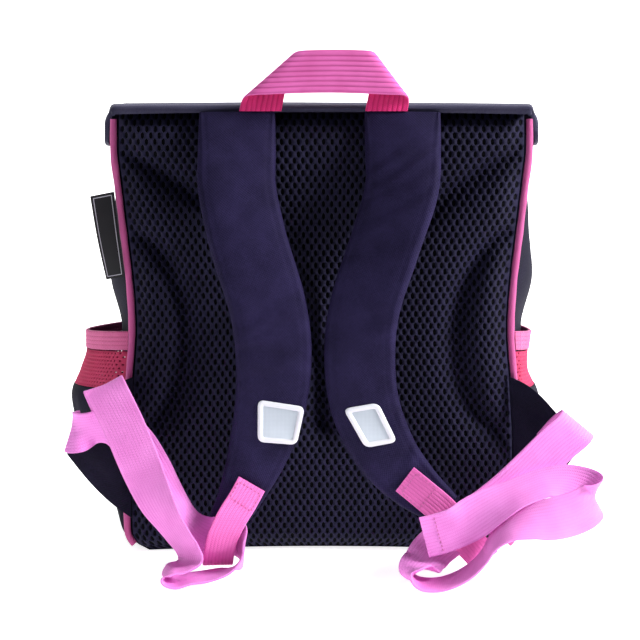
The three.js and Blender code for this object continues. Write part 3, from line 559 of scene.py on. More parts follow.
def net(place, wide, high, pitch, row, hole, thick):
    """Open knitted net as a closed sheet of six-sided cells in staggered rows. Strands crown along the cells'
    edges and fall to a six-sided hole in each cell. place takes millimetres across, up and out to a point."""
    columns, rows = round(wide / pitch), round(high / row)
    count = 2 * columns + 2
    j, k = np.meshgrid(np.arange(rows + 1), np.arange(count), indexing="ij")
    zigzag = np.where((j + k) % 2 == 0, 1, -1) / 6 * ((j > 0) & (j < rows))
    x = k * wide / (count - 1)
    y = (j + zigzag) * high / rows
    number = np.arange(x.size).reshape(x.shape)
    cell_j, cell_c = (grid.ravel() for grid in np.meshgrid(range(rows), range(columns), indexing="ij"))
    cell_k = 2 * cell_c + 1 + cell_j % 2
    corner = number[cell_j[:, None] + [0, 0, 0, 1, 1, 1], cell_k[:, None] + [-1, 0, 1, 1, 0, -1]]
    flat = stacked(x.ravel(), y.ravel())
    middle = flat[corner].mean(axis=1, keepdims=True)
    throat = (middle + (flat[corner] - middle) * hole).reshape(-1, 2)
    rim = (1 - STRAND_SLOPE) * throat + STRAND_SLOPE * flat[corner].reshape(-1, 2)
    levels = [(flat, thick), (rim, STRAND_SHOULDER * thick), (throat, 0.0), (flat, 0.0)]
    points = np.concatenate([place(cut[:, 0], cut[:, 1], lift) for cut, lift in levels])
    first = np.cumsum([0] + [len(cut) for cut, _ in levels])
    ring = np.arange(len(rim)).reshape(-1, 6)
    loops = [corner, ring + first[1], ring + first[2], corner + first[3]]
    faces = []
    for outer, inner in zip(loops, loops[1:]):
        quads = stacked(outer, np.roll(outer, -1, axis=1), np.roll(inner, -1, axis=1), inner)
        faces.append(quads.reshape(-1, 4))
    # Half cells close the ends of every row: at the start of odd rows and at the end of even ones
    ends = np.concatenate([number[1:-1:2, 0], number[:-1:2, count - 2]])
    half_cells = stacked(ends, ends + 1, ends + 1 + count, ends + count)
    faces += [half_cells, half_cells[:, ::-1] + first[3], edge_quads(number, first[3])]
    places = np.concatenate([cut for cut, _ in levels])
    return points, faces, [places[corners] for corners in faces]


def make_back_panel():
    """Quilted padding with a flat inner face that follows the panel's bow, and the net stretched over it."""
    u, v = lattice(*PAD_GRID)
    z = PANEL_LOW + v * (PANEL_HIGH - PANEL_LOW)
    outer = pad_place(2 * u - 1, z, 0.0)
    inner = outer.copy()
    inner[..., 1] = BACK_Y + PANEL_BOW * (1 - (2 * u - 1) ** 2) * (1 - v)
    cut = stacked(outer[..., 0], z)
    pad = piece("back_pad", slab(outer, inner, cut), PAD_CLOTH, ["back_panel"])
    wide, high = 2 * (SIDE_ROWS["back"][0] - PANEL_INSET), PANEL_HIGH - PANEL_LOW

    def place(across, up, lift):
        return pad_place(2 * across / wide - 1, PANEL_LOW + up, lift)

    cover = piece("back_net", net(place, wide, high, **BACK_NET), NET_YARN, sharp=180)


# Walls of the bag
GUSSET_HIGH, GUSSET_BACK, GUSSET_FRONT = 258.0, -53.4, 57.0
FRONT_HIGH, FRONT_CROWN, FRONT_INSET = 244.0, 9.0, 3.0


def make_gusset(word):
    """The bulging side between the back seam and the front seam, sunk along its creases."""
    u, v = lattice(*GUSSET_GRID)
    sink = wall_sink(u, v, GUSSET_FOLDS, GUSSET_RUMPLE)

    def place(depth):
        z, inset = wall_section(v, GUSSET_HIGH, depth)
        y = GUSSET_BACK + u * (GUSSET_FRONT - 2 * turn_under(z) - GUSSET_BACK)
        return stacked(SIDES[word] * (side_half(u, z) - inset - sink), y, z)

    sewn(
        f"side_wall_{word}", place(0), place(CLOTH), (GUSSET_FRONT - GUSSET_BACK, GUSSET_HIGH + TURN_TAKES),
        NAVY_CLOTH, "navy_cloth", f"gusset_{word}", held="stretched", rests_on=["base_panel", "back_pad"],
    )


def make_front():
    """A gently crowned wall from the turned-under base to the opening."""
    u, v = lattice(*FRONT_GRID)
    sink = wall_sink(u, v, FRONT_FOLDS, FRONT_RUMPLE)

    def place(depth):
        z, inset = wall_section(v, FRONT_HIGH, depth)
        half = side_half(1, z) - turn_under(z) - FRONT_INSET
        crown = FRONT_CROWN * (1 - (2 * u - 1) ** 2) * np.clip((v - 0.1) * 3, 0, 1)
        return stacked((2 * u - 1) * half, FRONT_Y + crown - inset - sink, z)

    size = 2 * (SIDE_ROWS["front"][2] - FRONT_INSET), FRONT_HIGH + TURN_TAKES
    sewn(
        "front_wall", place(0), place(CLOTH), size, NAVY_CLOTH, "navy_cloth", "front_panel",
        held="stretched", rests_on=["base_panel"],
    )


# Plates with a rounded outline: corners, radius of the corners, and sections as rows of inset and lift
REFLECTOR_CORNERS = {
    "left": [(-37.6, 105.5), (-9.8, 101.2), (-14.6, 78.2), (-37.8, 80)],
    "right": [(12.7, 100), (33.4, 103.7), (44.9, 80), (25.9, 76.3)],
}
REFLECTOR_ROUND, REFLECTOR_Y = 4.2, -102.4
FRAME_SECTION = [(0.3, 0), (0, 0.35), (0, 0.8), (0.35, 1.25), (1, 1.45), (2.2, 1.45), (2.9, 1.2), (3.3, 0.5)]
FILM_SECTION = [(2.7, 0.1), (2.7, 0.6), (3.6, 0.75)]
CLASP_CORNERS = [(-18, 130), (18, 130), (18, 162), (-18, 162)]
CLASP_ROUND, CLASP_Y = 7, 83.5
CLASP_SECTION = [(1.4, 0), (0.3, 0.4), (0, 1.4), (0, 4.2), (0.5, 5.3), (1.8, 6), (5, 6), (7, 5.2), (9.5, 5)]
BASE_SECTION = [(1.2, 0.02), (0.4, 0.3), (0, 0.9), (0, 1.3), (0.4, 1.8), (1.2, CLOTH)]
BASE_ROUND, BASE_GAP = 10, 1.5


def rounded_outline(corners, radius):
    """A closed outline whose corners are quadratic curves that start and end a radius from each corner."""
    corners = np.array(corners, float)
    into = corners + radius * unit(np.roll(corners, 1, axis=0) - corners)
    out = corners + radius * unit(np.roll(corners, -1, axis=0) - corners)
    t = np.linspace(0, 1, 8)[None, :, None]
    rounds = (1 - t) ** 2 * into[:, None] + 2 * t * (1 - t) * corners[:, None] + t**2 * out[:, None]
    return rounds.reshape(-1, 2)


def drawn_in(corners, inset):
    """Corners of the same outline drawn in on every side, each moved along the middle of its two sides."""
    corners = np.array(corners, float)
    sides = unit(np.roll(corners, -1, axis=0) - corners)
    inward = stacked(-sides[:, 1], sides[:, 0])
    if np.sum(inward * (corners.mean(axis=0) - corners)) < 0:
        inward = -inward
    before = np.roll(inward, 1, axis=0)
    return corners + inset * (before + inward) / (1 + np.sum(before * inward, axis=1, keepdims=True))


def plate(corners, radius, section, across, up, origin):
    """A plate from its corners and a section: each row of it draws the outline in and lifts it out."""
    across, up, origin = (np.array(vector, float) for vector in (across, up, origin))
    out = np.cross(across, up)
    drawn = [rounded_outline(drawn_in(corners, inset), max(radius - inset, 0.6)) for inset, _ in section]
    drawn = np.array(drawn)
    lift = np.array(section)[:, 1][:, None, None]
    rings = origin + drawn[..., :1] * across + drawn[..., 1:] * up + lift * out
    return tube(rings, np.concatenate([drawn, drawn[:, :1]], axis=1))


def make_base():
    """A flat floor of cloth inside the turned-under walls, with softened edges."""
    back_half, front_half = (side_half(u, 0.0) - BASE_RADIUS - BASE_GAP for u in (0, 1))
    back, front = BACK_Y + PANEL_BOW + 1, FRONT_Y - BASE_RADIUS - BASE_GAP
    corners = [(-back_half, back), (back_half, back), (front_half, front), (-front_half, front)]
    shape = plate(corners, BASE_ROUND, BASE_SECTION, (1, 0, 0), (0, 1, 0), (0, 0, 0))
    made = piece("base_cloth", shape, NAVY_CLOTH, ["base_panel"])


def make_reflector(word):
    """A moulded frame round a sunk panel of reflecting film, on the face of the strap."""
    corners = REFLECTOR_CORNERS[word]
    seat = {"across": (1, 0, 0), "up": (0, 0, 1), "origin": (0, REFLECTOR_Y, 0)}
    rim = plate(corners, REFLECTOR_ROUND, FRAME_SECTION, **seat)
    film = plate(corners, REFLECTOR_ROUND, FILM_SECTION, **seat)
    piece(f"reflector_frame_{word}", rim, WHITE_FRAME)
    piece(f"reflector_film_{word}", film, REFLECTING_FILM, [f"reflector_{word}"])


def make_clasp():
    """A plain closing piece on the front of the lid, dished in the middle."""
    shape = plate(CLASP_CORNERS, CLASP_ROUND, CLASP_SECTION, (-1, 0, 0), (0, 0, 1), (0, CLASP_Y, 0))
    piece("clasp", shape, CLASP_PLASTIC, ["lid_clasp"])


# Lid, then its hem stitches: grid row up from the front edge, points left out at each end, and pitch
LID_THICK, LID_CROWN, LID_ROUND, LID_FLAT, LID_ARC, LID_DROOP = 2.2, 1.2, 13.0, 0.64, 0.86, 3.4
HEM_ROW, HEM_END, HEM_STITCH = 6, 8, 3.2


def make_lid():
    """Flat across the middle, round the edge, then down the flange, square to the lid's side view. The lip at
    the back hangs a little lower towards its ends, and a row of stitches runs along the front hem."""
    columns, rows = LID_GRID
    u, v = lattice(columns, rows)
    y, z, half, drop = (along(LID_ROWS, name, v) for name in LID_ROWS)
    run_y, run_z = (along(LID_ROWS, name, v + 0.01) - along(LID_ROWS, name, v - 0.01) for name in "yz")
    inward_y, inward_z = run_z / np.hypot(run_y, run_z), -run_y / np.hypot(run_y, run_z)
    across = 2 * u - 1
    share = np.abs(across)
    turn = np.minimum(LID_ROUND, drop)
    angle = np.clip((share - LID_FLAT) / (LID_ARC - LID_FLAT), 0, 1) * np.pi / 2
    flange = np.maximum(share - LID_ARC, 0) / (1 - LID_ARC) * (drop - turn)
    crown = np.minimum(inward_z, 0) * LID_CROWN * (1 - share**2)
    sink = creases(u, v, LID_FOLDS) * (share < LID_FLAT)
    sink = sink + rumple(u, v, LID_RUMPLE) * np.clip(8 * v - 1.2, 0, 1)
    droop = LID_DROOP * share**2 * np.clip(1 - 18 * v, 0, 1)

    def place(depth):
        out = np.minimum(share / LID_FLAT, 1) * (half - turn) + (turn - depth) * np.sin(angle)
        down = turn - (turn - depth) * np.cos(angle) + flange + crown + sink
        return stacked(np.sign(across) * out, y + inward_y * down, z + inward_z * down - droop)

    outer = place(0)
    middle = columns // 2
    size = 2 * lengths(outer[rows // 2, middle:])[-1], lengths(outer[:, middle])[-1]
    sewn(
        "lid_cloth", outer, place(LID_THICK), size, LID_CLOTH_PAINTED_HIGHLIGHT, "navy_cloth", "lid",
        held="folded", rests_on=["back_pad", "front_wall"],
    )
    hem = outer[rows - HEM_ROW, HEM_END:-HEM_END]
    forward = np.tile([0.0, 1.0, 0.0], (len(hem), 1))
    piece("lid_stitches", stitch_line(hem, forward, HEM_STITCH), NAVY_THREAD)


# Straps and webbing: swell of a strap's face and the seams in it, share and place of the ridge beside a
# wrinkle, length of the cloth's unevenness, then place, pitch and points of a line of webbing stitches
STRAP_HALF, STRAP_SWELL, STRAP_SEAM, STRAP_SEAM_WIDE = 22.0, 0.9, 0.5, 2.6
RIDGE_SHARE, RIDGE_OFF, RUMPLE_LONG = 0.6, 1.7, 40
STITCH_INSET, WEBBING_STITCH, SEAM_POINTS = 1.6, 2.4, 12


def strap_section():
    """Shares of a padded strap's section: along its flat, round its edges and out of its face."""
    flat = np.linspace(-1, 1, 26)
    angle = np.linspace(0, np.pi, 11)[1:-1]
    front = stacked(flat, 0.0, 1.0)
    edge = stacked(1.0, np.sin(angle), np.cos(angle))
    return np.concatenate([front, edge, -front, -edge])


def make_strap(word):
    """Padded strap: a flat face between two edge seams, rolled edges, and wrinkles where the bend gathers it.
    A wrinkle is a bell-shaped groove across the strap with a lower ridge beside it."""
    rows = STRAP_ROWS[word]
    places = stations(rows, STRAP_COUNT)
    share, length = places["share"], places["length"][:, None]
    width, thick = along(rows, "width", share)[:, None], STRAP_THICK * along(rows, "fill", share)[:, None]
    flat, edge, out = strap_section().T[:, None, :]
    side = flat * (width / 2 - thick / 2) + edge * thick / 2
    front = np.clip(out, 0, 1)
    seam = STRAP_SEAM * bell((1 - np.abs(flat)) * width / STRAP_SEAM_WIDE) * (edge == 0)
    wrinkle = np.zeros_like(side)
    for at, rise, half, depth in zip(*STRAP_WRINKLES[word].values()):
        off = (length - at + rise * side / STRAP_HALF) / half
        wrinkle += depth * (bell(off) - RIDGE_SHARE * bell(off - RIDGE_OFF))
    uneven = rumple(length / RUMPLE_LONG, side / RUMPLE_LONG, STRAP_RUMPLE)
    swell = (STRAP_SWELL * (1 - flat**2) - seam - wrinkle) * front + uneven
    across = places["across"][:, None] * side[..., None]
    lift = places["face"][:, None] * (out * thick / 2 + swell)[..., None]
    around = np.concatenate([side, side[:, :1]], axis=1)
    cut = stacked(around, length)
    shape = tube(places["middle"][:, None] + across + lift, cut)
    made = piece(f"strap_pad_{word}", shape, STRAP_CLOTH, [f"shoulder_strap_{word}"])


def make_webbing(word, name, rows, width, ribs, count, finish, replaced):
    """A length of ribbed webbing along its route."""
    places = stations(rows[word], count)
    shape = ribbon(places, webbing_profile(width, ribs))
    made = piece(f"{name}_{word}", shape, finish, [f"{replaced}_{word}"])
    return places


def webbing_seam(places, shares, reaches, face):
    """Stitches on one face of webbing, in a line between two shares of its length and two reaches across."""
    at = np.round(np.linspace(*shares, SEAM_POINTS) * (len(places["share"]) - 1)).astype(int)
    out = face * places["face"][at]
    reach = np.linspace(*reaches, SEAM_POINTS)[:, None]
    line = places["middle"][at] + reach * places["across"][at] + out * WEBBING_THICK / 2
    return stitch_line(line, out, WEBBING_STITCH)


def make_strap_ends(word):
    """The tab, sewn to the strap by a box of stitches, and the adjusting webbing with its stitched hem."""
    tab = make_webbing(word, "tab", TAB_ROWS, TAB_WIDTH, TAB_RIBS, TAB_COUNT, TAB_WEBBING, "strap_tab")
    adjuster = make_webbing(
        word, "adjuster", ADJUSTER_ROWS, WEBBING_WIDTH, WEBBING_RIBS, ADJUSTER_COUNT, PINK_WEBBING,
        "adjuster_webbing",
    )
    front = -1 if tab["face"][0, 1] > 0 else 1
    ends, hem = (0.03, 0.16), (0.975, 0.975)
    both = np.array([-1, 1])
    edges, hem_edges = both * (TAB_WIDTH / 2 - STITCH_INSET), both * (WEBBING_WIDTH / 2 - STITCH_INSET)
    seams = [webbing_seam(tab, (share, share), edges, front) for share in ends]
    seams += [webbing_seam(tab, ends, (edge, edge), front) for edge in edges]
    seams += [webbing_seam(adjuster, hem, hem_edges, face) for face in both]
    piece(f"webbing_stitches_{word}", joined(seams), PINK_THREAD)


# Carry handle: upright ends rolled over at 45 degrees into a level grip in front of them, then eased
HANDLE_LEFT, HANDLE_RIGHT, HANDLE_LOW, HANDLE_GRIP = -36.2, 38.3, 273.2, 282.5
HANDLE_Y, HANDLE_ROLL, HANDLE_LEAN, HANDLE_BOW = -73.0, 3.0, 0.2, 1.6
HANDLE_GROOVE, HANDLE_EASING = 0.4, 24


def make_handle():
    """Each point past the fold line of the flat strip rolls half round a small cylinder along that line and
    comes back in front. The right half mirrors the left, and the folds are then eased."""
    leg = HANDLE_GRIP - HANDLE_LOW
    bend = math.pi * HANDLE_ROLL
    slant = math.sqrt(0.5)
    length = 2 * (leg + WEBBING_WIDTH / 2) + HANDLE_RIGHT - HANDLE_LEFT
    strip = np.linspace(0, length, HANDLE_COUNT)[:, None]
    profile = webbing_profile(WEBBING_WIDTH, HANDLE_RIBS, groove=HANDLE_GROOVE)
    mirrored = strip > length / 2
    flat_x = profile[None, :, 0] + WEBBING_WIDTH / 2
    flat_z = np.where(mirrored, length - strip, strip) - leg
    on_fold = (flat_x + flat_z) * slant
    past = (flat_z - flat_x) * slant + bend / 2
    angle = np.clip(past / HANDLE_ROLL, 0, np.pi)
    radius = HANDLE_ROLL - profile[None, :, 1]
    run = np.minimum(past, 0) + radius * np.sin(angle) - np.maximum(past - bend, 0) - bend / 2
    forward = HANDLE_ROLL - radius * np.cos(angle)
    x = (on_fold - run) * slant - WEBBING_WIDTH / 2
    rise = (on_fold + run) * slant
    x = np.where(mirrored, HANDLE_RIGHT - x, HANDLE_LEFT + x) + HANDLE_LEAN * (rise + leg)
    rise = rise + HANDLE_BOW * np.sin(np.pi * strip / length) ** 2
    sections = eased(stacked(x, HANDLE_Y - forward, HANDLE_GRIP + rise), HANDLE_EASING)
    cut = stacked(two_faced(profile)[None], strip)
    made = piece("handle_webbing", tube(sections, cut), HANDLE_WEBBING_SHADED_LEGS, ["carry_handle"])


# Piping and label in the back seams. The cord's unevenness has rows of share of its radius and length
PIPING_LOW, PIPING_HIGH, PIPING_OUT, PIPING_Y, PIPING_LENGTH = 4.0, 268.0, 0.2, -57.5, 270.0
PIPING_WAVES = [(0.04, 3.1), (0.03, 7.3)]
LABEL_TOP, LABEL_BOTTOM, LABEL_WIDE, LABEL_SAG, LABEL_CLEAR, LABEL_THICK = 224.5, 173.0, 14.0, 2.6, 2.6, 1.0
LABEL_Y, LABEL_LEAN, LABEL_TURN, LABEL_PILLOW, LABEL_WAVE = -60.0, 3.0, 0.6, 0.35, 0.5


def make_piping(word):
    """A round cord in bias cloth along a back seam, a little uneven where the seam draws it in."""
    z = np.linspace(PIPING_LOW, PIPING_HIGH, PIPING_COUNT)
    middle = stacked(SIDES[word] * (seam_half(z) + PIPING_OUT), PIPING_Y, z)
    run = unit(np.gradient(middle, axis=0))
    out = unit(np.cross(run, [0, 1, 0]))
    angle = np.linspace(0, 2 * np.pi, 15)[:, None]
    around = out[:, None] * np.cos(angle[:-1]) + np.cross(run, out)[:, None] * np.sin(angle[:-1])
    uneven = sum((size * np.sin(z / span) for size, span in PIPING_WAVES), start=1)
    radius = PIPING_RADIUS * uneven[:, None, None]
    cut = stacked(angle.T * PIPING_RADIUS, z[:, None])
    shape = tube(middle[:, None] + radius * around, cut)
    made = piece(f"seam_piping_{word}", shape, PIPING_CLOTH, [f"piping_{word}"])


def make_label():
    """A folded tab held by its inner edge, hanging a little at its outer edge and turned back lower down."""
    u, v = lattice(*LABEL_GRID)
    high = LABEL_TOP - LABEL_BOTTOM
    z = LABEL_TOP - v * high
    turn = LABEL_TURN * v
    x = -(seam_half(z) + LABEL_CLEAR + u * LABEL_WIDE * np.cos(turn))
    y = LABEL_Y - LABEL_LEAN * u + u * LABEL_WIDE * np.sin(turn) + LABEL_WAVE * np.sin(5 * v + 1) * u
    pillow = LABEL_PILLOW * np.sin(np.pi * u) ** 0.5
    z = z - LABEL_SAG * u
    outer, inner = (stacked(x, face, z) for face in (y - pillow, y + LABEL_THICK + pillow))
    sewn(
        "label_tab", outer, inner, (LABEL_WIDE, high), LABEL_SATIN, "label_cloth", "side_label",
        held="hung", rests_on=["seam_piping_left"],
    )


# Side pockets and wings
POCKET_BACK, POCKET_FRONT, POCKET_CLEAR, POCKET_SEAM, POCKET_PULL = -50.0, 50.0, 2.0, 0.04, 0.07
POCKET_BASE, POCKET_NET, POCKET_RIM = (4.0, 94.0), (94.4, 116.6), (117.0, 129.0)
POCKET_SLACK = {"left": 1.0, "right": 0.4}
# Grid row where a pocket is widest, cut height over the height that shows, and lift of the net
POCKET_FULLEST, POCKET_FULLNESS, NET_FULLNESS, NET_LIFT = 50, 1.15, 1.05, 0.5
GATHER_DEEP, GATHER_PITCH, RIM_GROOVE = 0.22, 2.3, 0.15
RIM_WIDE = POCKET_RIM[1] - POCKET_RIM[0]
WING_TOP, WING_BOTTOM, WING_WIDE, WING_SHARE = 111.0, 22.0, 44.0, 0.62
WING_OVERLAP, WING_Y, WING_SPREAD, WING_BILLOW = 3.0, -61.2, 4.0, 5.0
WING_EDGE = np.array([(144.5, -76, 89), (155, -75, 66)], float)


def pocket_place(word, u, z, lift):
    """A point of the pocket, bulging between the back seam and the front seam, lifted off its inner face.
    The seams draw it in to the bag's side, and the elastic pulls its back up a little."""
    z = z * (1 + POCKET_PULL * (1 - u) ** 2)
    y = POCKET_BACK + u * (POCKET_FRONT - turn_under(z) - POCKET_BACK)
    share = (y - GUSSET_BACK) / (GUSSET_FRONT - turn_under(z) - GUSSET_BACK)
    standing = smooth(POCKET_ROWS["z"], POCKET_ROWS[word], z) * np.sin(np.pi * np.clip(u, 0, 1)) ** 0.7
    half = side_half(share, z) - turn_under(z)
    clear = POCKET_CLEAR * (0.2 + 0.8 * np.clip(np.minimum(u, 1 - u) / POCKET_SEAM, 0, 1))
    return stacked(SIDES[word] * (half + clear + standing + lift), y, z)


def make_pocket(word):
    """Slack cloth below, a band of net above it, and gathered elastic along the rim."""
    u, v = lattice(*POCKET_GRID)
    slack = POCKET_SLACK[word]
    high, tall = (top - low for low, top in (POCKET_BASE, POCKET_NET))
    sink = creases(u, v, POCKET_FOLDS) * slack + rumple(u, v, POCKET_RUMPLE * slack)
    sink *= np.sin(np.pi * u) * np.sin(np.pi * np.clip(v, 0.02, 0.98)) ** 0.5
    inner, outer = (pocket_place(word, u, POCKET_BASE[0] + v * high, lift - sink) for lift in (0, CLOTH))
    wide = lengths(outer[POCKET_FULLEST])[-1]
    base = sewn(
        f"pocket_cloth_{word}", outer, inner, (wide, high), NAVY_CLOTH, "navy_cloth", f"pocket_base_{word}",
        fullness=POCKET_FULLNESS, held="gathered", rests_on=[f"side_wall_{word}"],
    )

    def weave(across, up, lift):
        return pocket_place(word, across / wide, POCKET_NET[0] + up, NET_LIFT + lift)

    band = net(weave, wide, tall, **POCKET_MESH)
    knit = piece(f"pocket_knit_{word}", band, PINK_NET, [f"pocket_net_{word}"], sharp=180)

    share = np.linspace(0, 1, RIM_COUNT)
    low, top = (pocket_place(word, share, height, CLOTH / 2) for height in POCKET_RIM)
    middle = (low + top) / 2
    run = unit(np.gradient(middle, axis=0))
    face = unit(np.cross(run, top - low)) * SIDES[word]
    length = lengths(middle)
    gather = GATHER_DEEP * np.sin(2 * np.pi * length / GATHER_PITCH) * np.sin(np.pi * share) ** 0.3
    middle = middle + gather[:, None] * face
    places = {"middle": middle, "across": unit(top - low), "face": face, "length": length}
    tape = webbing_profile(RIM_WIDE, RIM_RIBS, groove=RIM_GROOVE) * [1, CLOTH / WEBBING_THICK]
    shape = ribbon(places, tape)
    rim = piece(f"pocket_elastic_{word}", shape, PINK_ELASTIC, [f"pocket_rim_{word}"])


def make_wing(word):
    """A triangle of cloth from the back seam to the end of the webbing, billowing towards the straps."""
    u, v = lattice(*WING_GRID)
    high = WING_TOP - WING_BOTTOM
    z = WING_TOP - v * high
    seam = stacked(seam_half(z) - WING_OVERLAP, WING_Y, z)
    edge = WING_EDGE[0] + v[..., None] * (WING_EDGE[1] - WING_EDGE[0])
    middle = seam + u[..., None] * (edge - seam)
    middle[..., 2] += WING_SPREAD * np.sin(np.pi * u) * (1 - 2 * v)
    middle[..., 1] -= WING_BILLOW * np.sin(np.pi * u) * np.sin(np.pi * v)
    middle[..., 1] += creases(u, v, WING_FOLDS) * np.sin(np.pi * np.clip(u, 0, 0.8))
    outer, inner = ((middle + [0, depth, 0]) * [SIDES[word], 1, 1] for depth in (-CLOTH / 2, CLOTH / 2))
    sewn(
        f"wing_cloth_{word}", outer, inner, (WING_WIDE, high), NAVY_CLOTH, "navy_cloth", f"wing_{word}",
        held="stretched", rests_on=[f"seam_piping_{word}"], area=WING_SHARE * WING_WIDE * MM * high * MM,
    )


# Finishes

def operation(kind, swapped=False):
    """A method that adds a Math node of the given kind, the value itself going first or, if swapped, last."""
    def add(self, *others):
        values = (*others, self) if swapped else (self, *others)
        return self.finish.node("Math", {"operation": kind}, dict(enumerate(values)))

    return add


class Wire:
    """A value in a finish. Sums on it add Math nodes."""

    def __init__(self, finish, socket):
        self.finish = finish
        self.socket = socket

    __add__ = __radd__ = operation("ADD")
    __sub__ = operation("SUBTRACT")
    __rsub__ = operation("SUBTRACT", swapped=True)
    __mul__ = __rmul__ = operation("MULTIPLY")
    __truediv__ = operation("DIVIDE")
    __pow__ = operation("POWER")
    sin = operation("SINE")
    size = operation("ABSOLUTE")
    above = operation("GREATER_THAN")
    least = operation("MINIMUM")
    part = operation("FLOORED_MODULO")

    def wave(self, period):
        """A sine of the value, from -1 to 1 and back in each period."""
        return (self * (2 * math.pi / period)).sin()


class Finish:
    """A material under construction. Cloth places u and v are millimetres across and along the cut cloth."""

    def __init__(self, name, **constants):
        self.material = bpy.data.materials.new(name)
        self.material.use_nodes = True
        self.tree = self.material.node_tree
        self.shader = self.tree.nodes["Principled BSDF"]
        for socket, value in constants.items():
            self.shader.inputs[socket.replace("_", " ")].default_value = value
        self.u = self.node("SeparateXYZ", {}, {"Vector": self.node("UVMap", {"uv_map": "cut"})})
        self.v = Wire(self, self.u.socket.node.outputs["Y"])

    def node(self, kind, settings=None, sockets=None, out=0):
        """Any node by its type: settings first, then the values or links of its sockets."""
        made = self.tree.nodes.new("ShaderNode" + kind)
        for name, value in (settings or {}).items():
            setattr(made, name, value)
        for name, value in (sockets or {}).items():
            if isinstance(value, Wire):
                self.tree.links.new(value.socket, made.inputs[name])
            else:
                made.inputs[name].default_value = value
        return Wire(self, made.outputs[out])

    def mix(self, share, first, second):
        """A colour between two colours, each a screen colour's code or a value in the finish."""
        first, second = (colour(tone) if isinstance(tone, str) else tone for tone in (first, second))
        return self.node("Mix", {"data_type": "RGBA"}, {0: share, 6: first, 7: second}, out=2)

    def noise(self, scale, detail=3.0):
        """Cloudy unevenness in the object's own space, scale being patches to a metre."""
        place = self.node("TexCoord", out=3)
        return self.node("TexNoise", {}, {"Vector": place, "Scale": scale, "Detail": detail})

    def diamonds(self, period):
        """A grid of diamonds: two crossed slanting waves."""
        return (self.u + self.v).wave(period) * (self.u - self.v).wave(period)

    def made(self, tone, roughness, height=None, relief=0.0):
        """The finished material, with small relief: height from 0 to 1 times a distance in millimetres."""
        results = {"Base Color": tone, "Roughness": roughness}
        if height is not None:
            bump = {"Height": height, "Distance": relief * MM, "Strength": 1.0}
            results["Normal"] = self.node("Bump", {}, bump)
        for socket, value in results.items():
            self.tree.links.new(value.socket, self.shader.inputs[socket])
        return self.material


def colour(code):
    """A shader colour from a hexadecimal screen colour."""
    screen = np.array([int(code[i:i + 2], 16) for i in (0, 2, 4)]) / 255
    linear = np.where(screen <= 0.04045, screen / 12.92, ((screen + 0.055) / 1.055) ** 2.4)
    return (*linear.tolist(), 1.0)


def woven(name, dark, light, roughness=0.72):
    """Plain woven cloth: threads over and under each other, cloudy and speckled in tone."""
    finish = Finish(name, Specular_IOR_Level=0.06)
    thread = finish.u.wave(1.6) * finish.v.wave(1.6)
    cloud, speck = finish.noise(55.0, 5.0), finish.noise(900.0, 2.0)
    tone = 0.5 + thread * 0.25 + (cloud - 0.5) * 1.4 + (speck - 0.5) * 0.9
    rough = roughness + (cloud - 0.5) * 0.2 - thread * 0.05
    return finish.made(finish.mix(tone, dark, light), rough, thread * 0.5 + speck * 0.6, 0.14)


def webbed(name, faces, rib_wide, groove=0.35, pick=1.1):
    """Ribbed webbing: each rib is a braid of slanting picks, and painted shade deepens the colour in the
    grooves.
    faces has the dark and the light tone of the right face, then those of the reverse."""
    finish = Finish(name, Sheen_Weight=0.08, Sheen_Roughness=0.4, Specular_IOR_Level=0.3)
    right_dark, right_light, reverse_dark, reverse_light = faces.split()
    rib = (finish.u / rib_wide).part(1.0) - 0.5
    picks = (finish.v + rib.size() * (0.9 * rib_wide)).wave(pick) * 0.5 + 0.5
    crown = 1.0 - (rib * 2.0).size() ** 5.0
    cloud = finish.noise(70.0, 4.0)
    # Painted shade: groove darkens the tone towards the grooves between the ribs
    tone = 0.7 + (crown - 1.0) * groove + picks * 0.25 + (cloud - 0.5) * 0.8
    right, reverse = finish.mix(tone, right_dark, right_light), finish.mix(tone, reverse_dark, reverse_light)
    both = finish.mix(finish.u.above(REVERSE / 2), right, reverse)
    return finish.made(both, 0.6 + (cloud - 0.5) * 0.15, picks * 0.7 + crown * 0.3, 0.18)


def knitted(name, dark, light, roughness=0.6):
    """Knitted yarn: fine loops along the strands, cloudy in tone."""
    finish = Finish(name, Specular_IOR_Level=0.12)
    loops = finish.diamonds(0.55)
    cloud = finish.noise(60.0, 4.0)
    tone = finish.mix(0.5 + loops * 0.25 + (cloud - 0.5) * 0.8, dark, light)
    return finish.made(tone, roughness + (cloud - 0.5) * 0.2, loops * 0.5 + 0.5, 0.12)


def twisted(name, dark, light):
    """Sewing thread and bias-cut trim: slanting strands."""
    finish = Finish(name, Sheen_Weight=0.06, Sheen_Roughness=0.4, Specular_IOR_Level=0.3)
    strand = (finish.u + finish.v).wave(0.9) * 0.5 + 0.5
    cloud = finish.noise(80.0)
    tone = finish.mix(strand * 0.35 + cloud * 0.65, dark, light)
    return finish.made(tone, 0.55 + cloud * 0.15, strand, 0.12)


def film_finish():
    """Reflecting film: tiny prisms in a diamond grid that catch the light unevenly."""
    finish = Finish("reflecting film", Metallic=0.15, Coat_Weight=0.3, Coat_Roughness=0.12)
    grid = finish.diamonds(math.pi / 2)
    cloud = finish.noise(90.0)
    tone = finish.mix(0.35 + grid * 0.25 + cloud * 0.4, "aab4be", "d2dce6")
    return finish.made(tone, 0.3 + cloud * 0.2, grid * 0.5 + 0.5, 0.06)


def moulded(name, dark, light):
    """Moulded plastic: a faint grain and a soft gloss."""
    finish = Finish(name, Specular_IOR_Level=0.5)
    grain, cloud = finish.noise(1400.0, 2.0), finish.noise(60.0)
    return finish.made(finish.mix(cloud, dark, light), 0.42 + (cloud - 0.5) * 0.15, grain, 0.05)


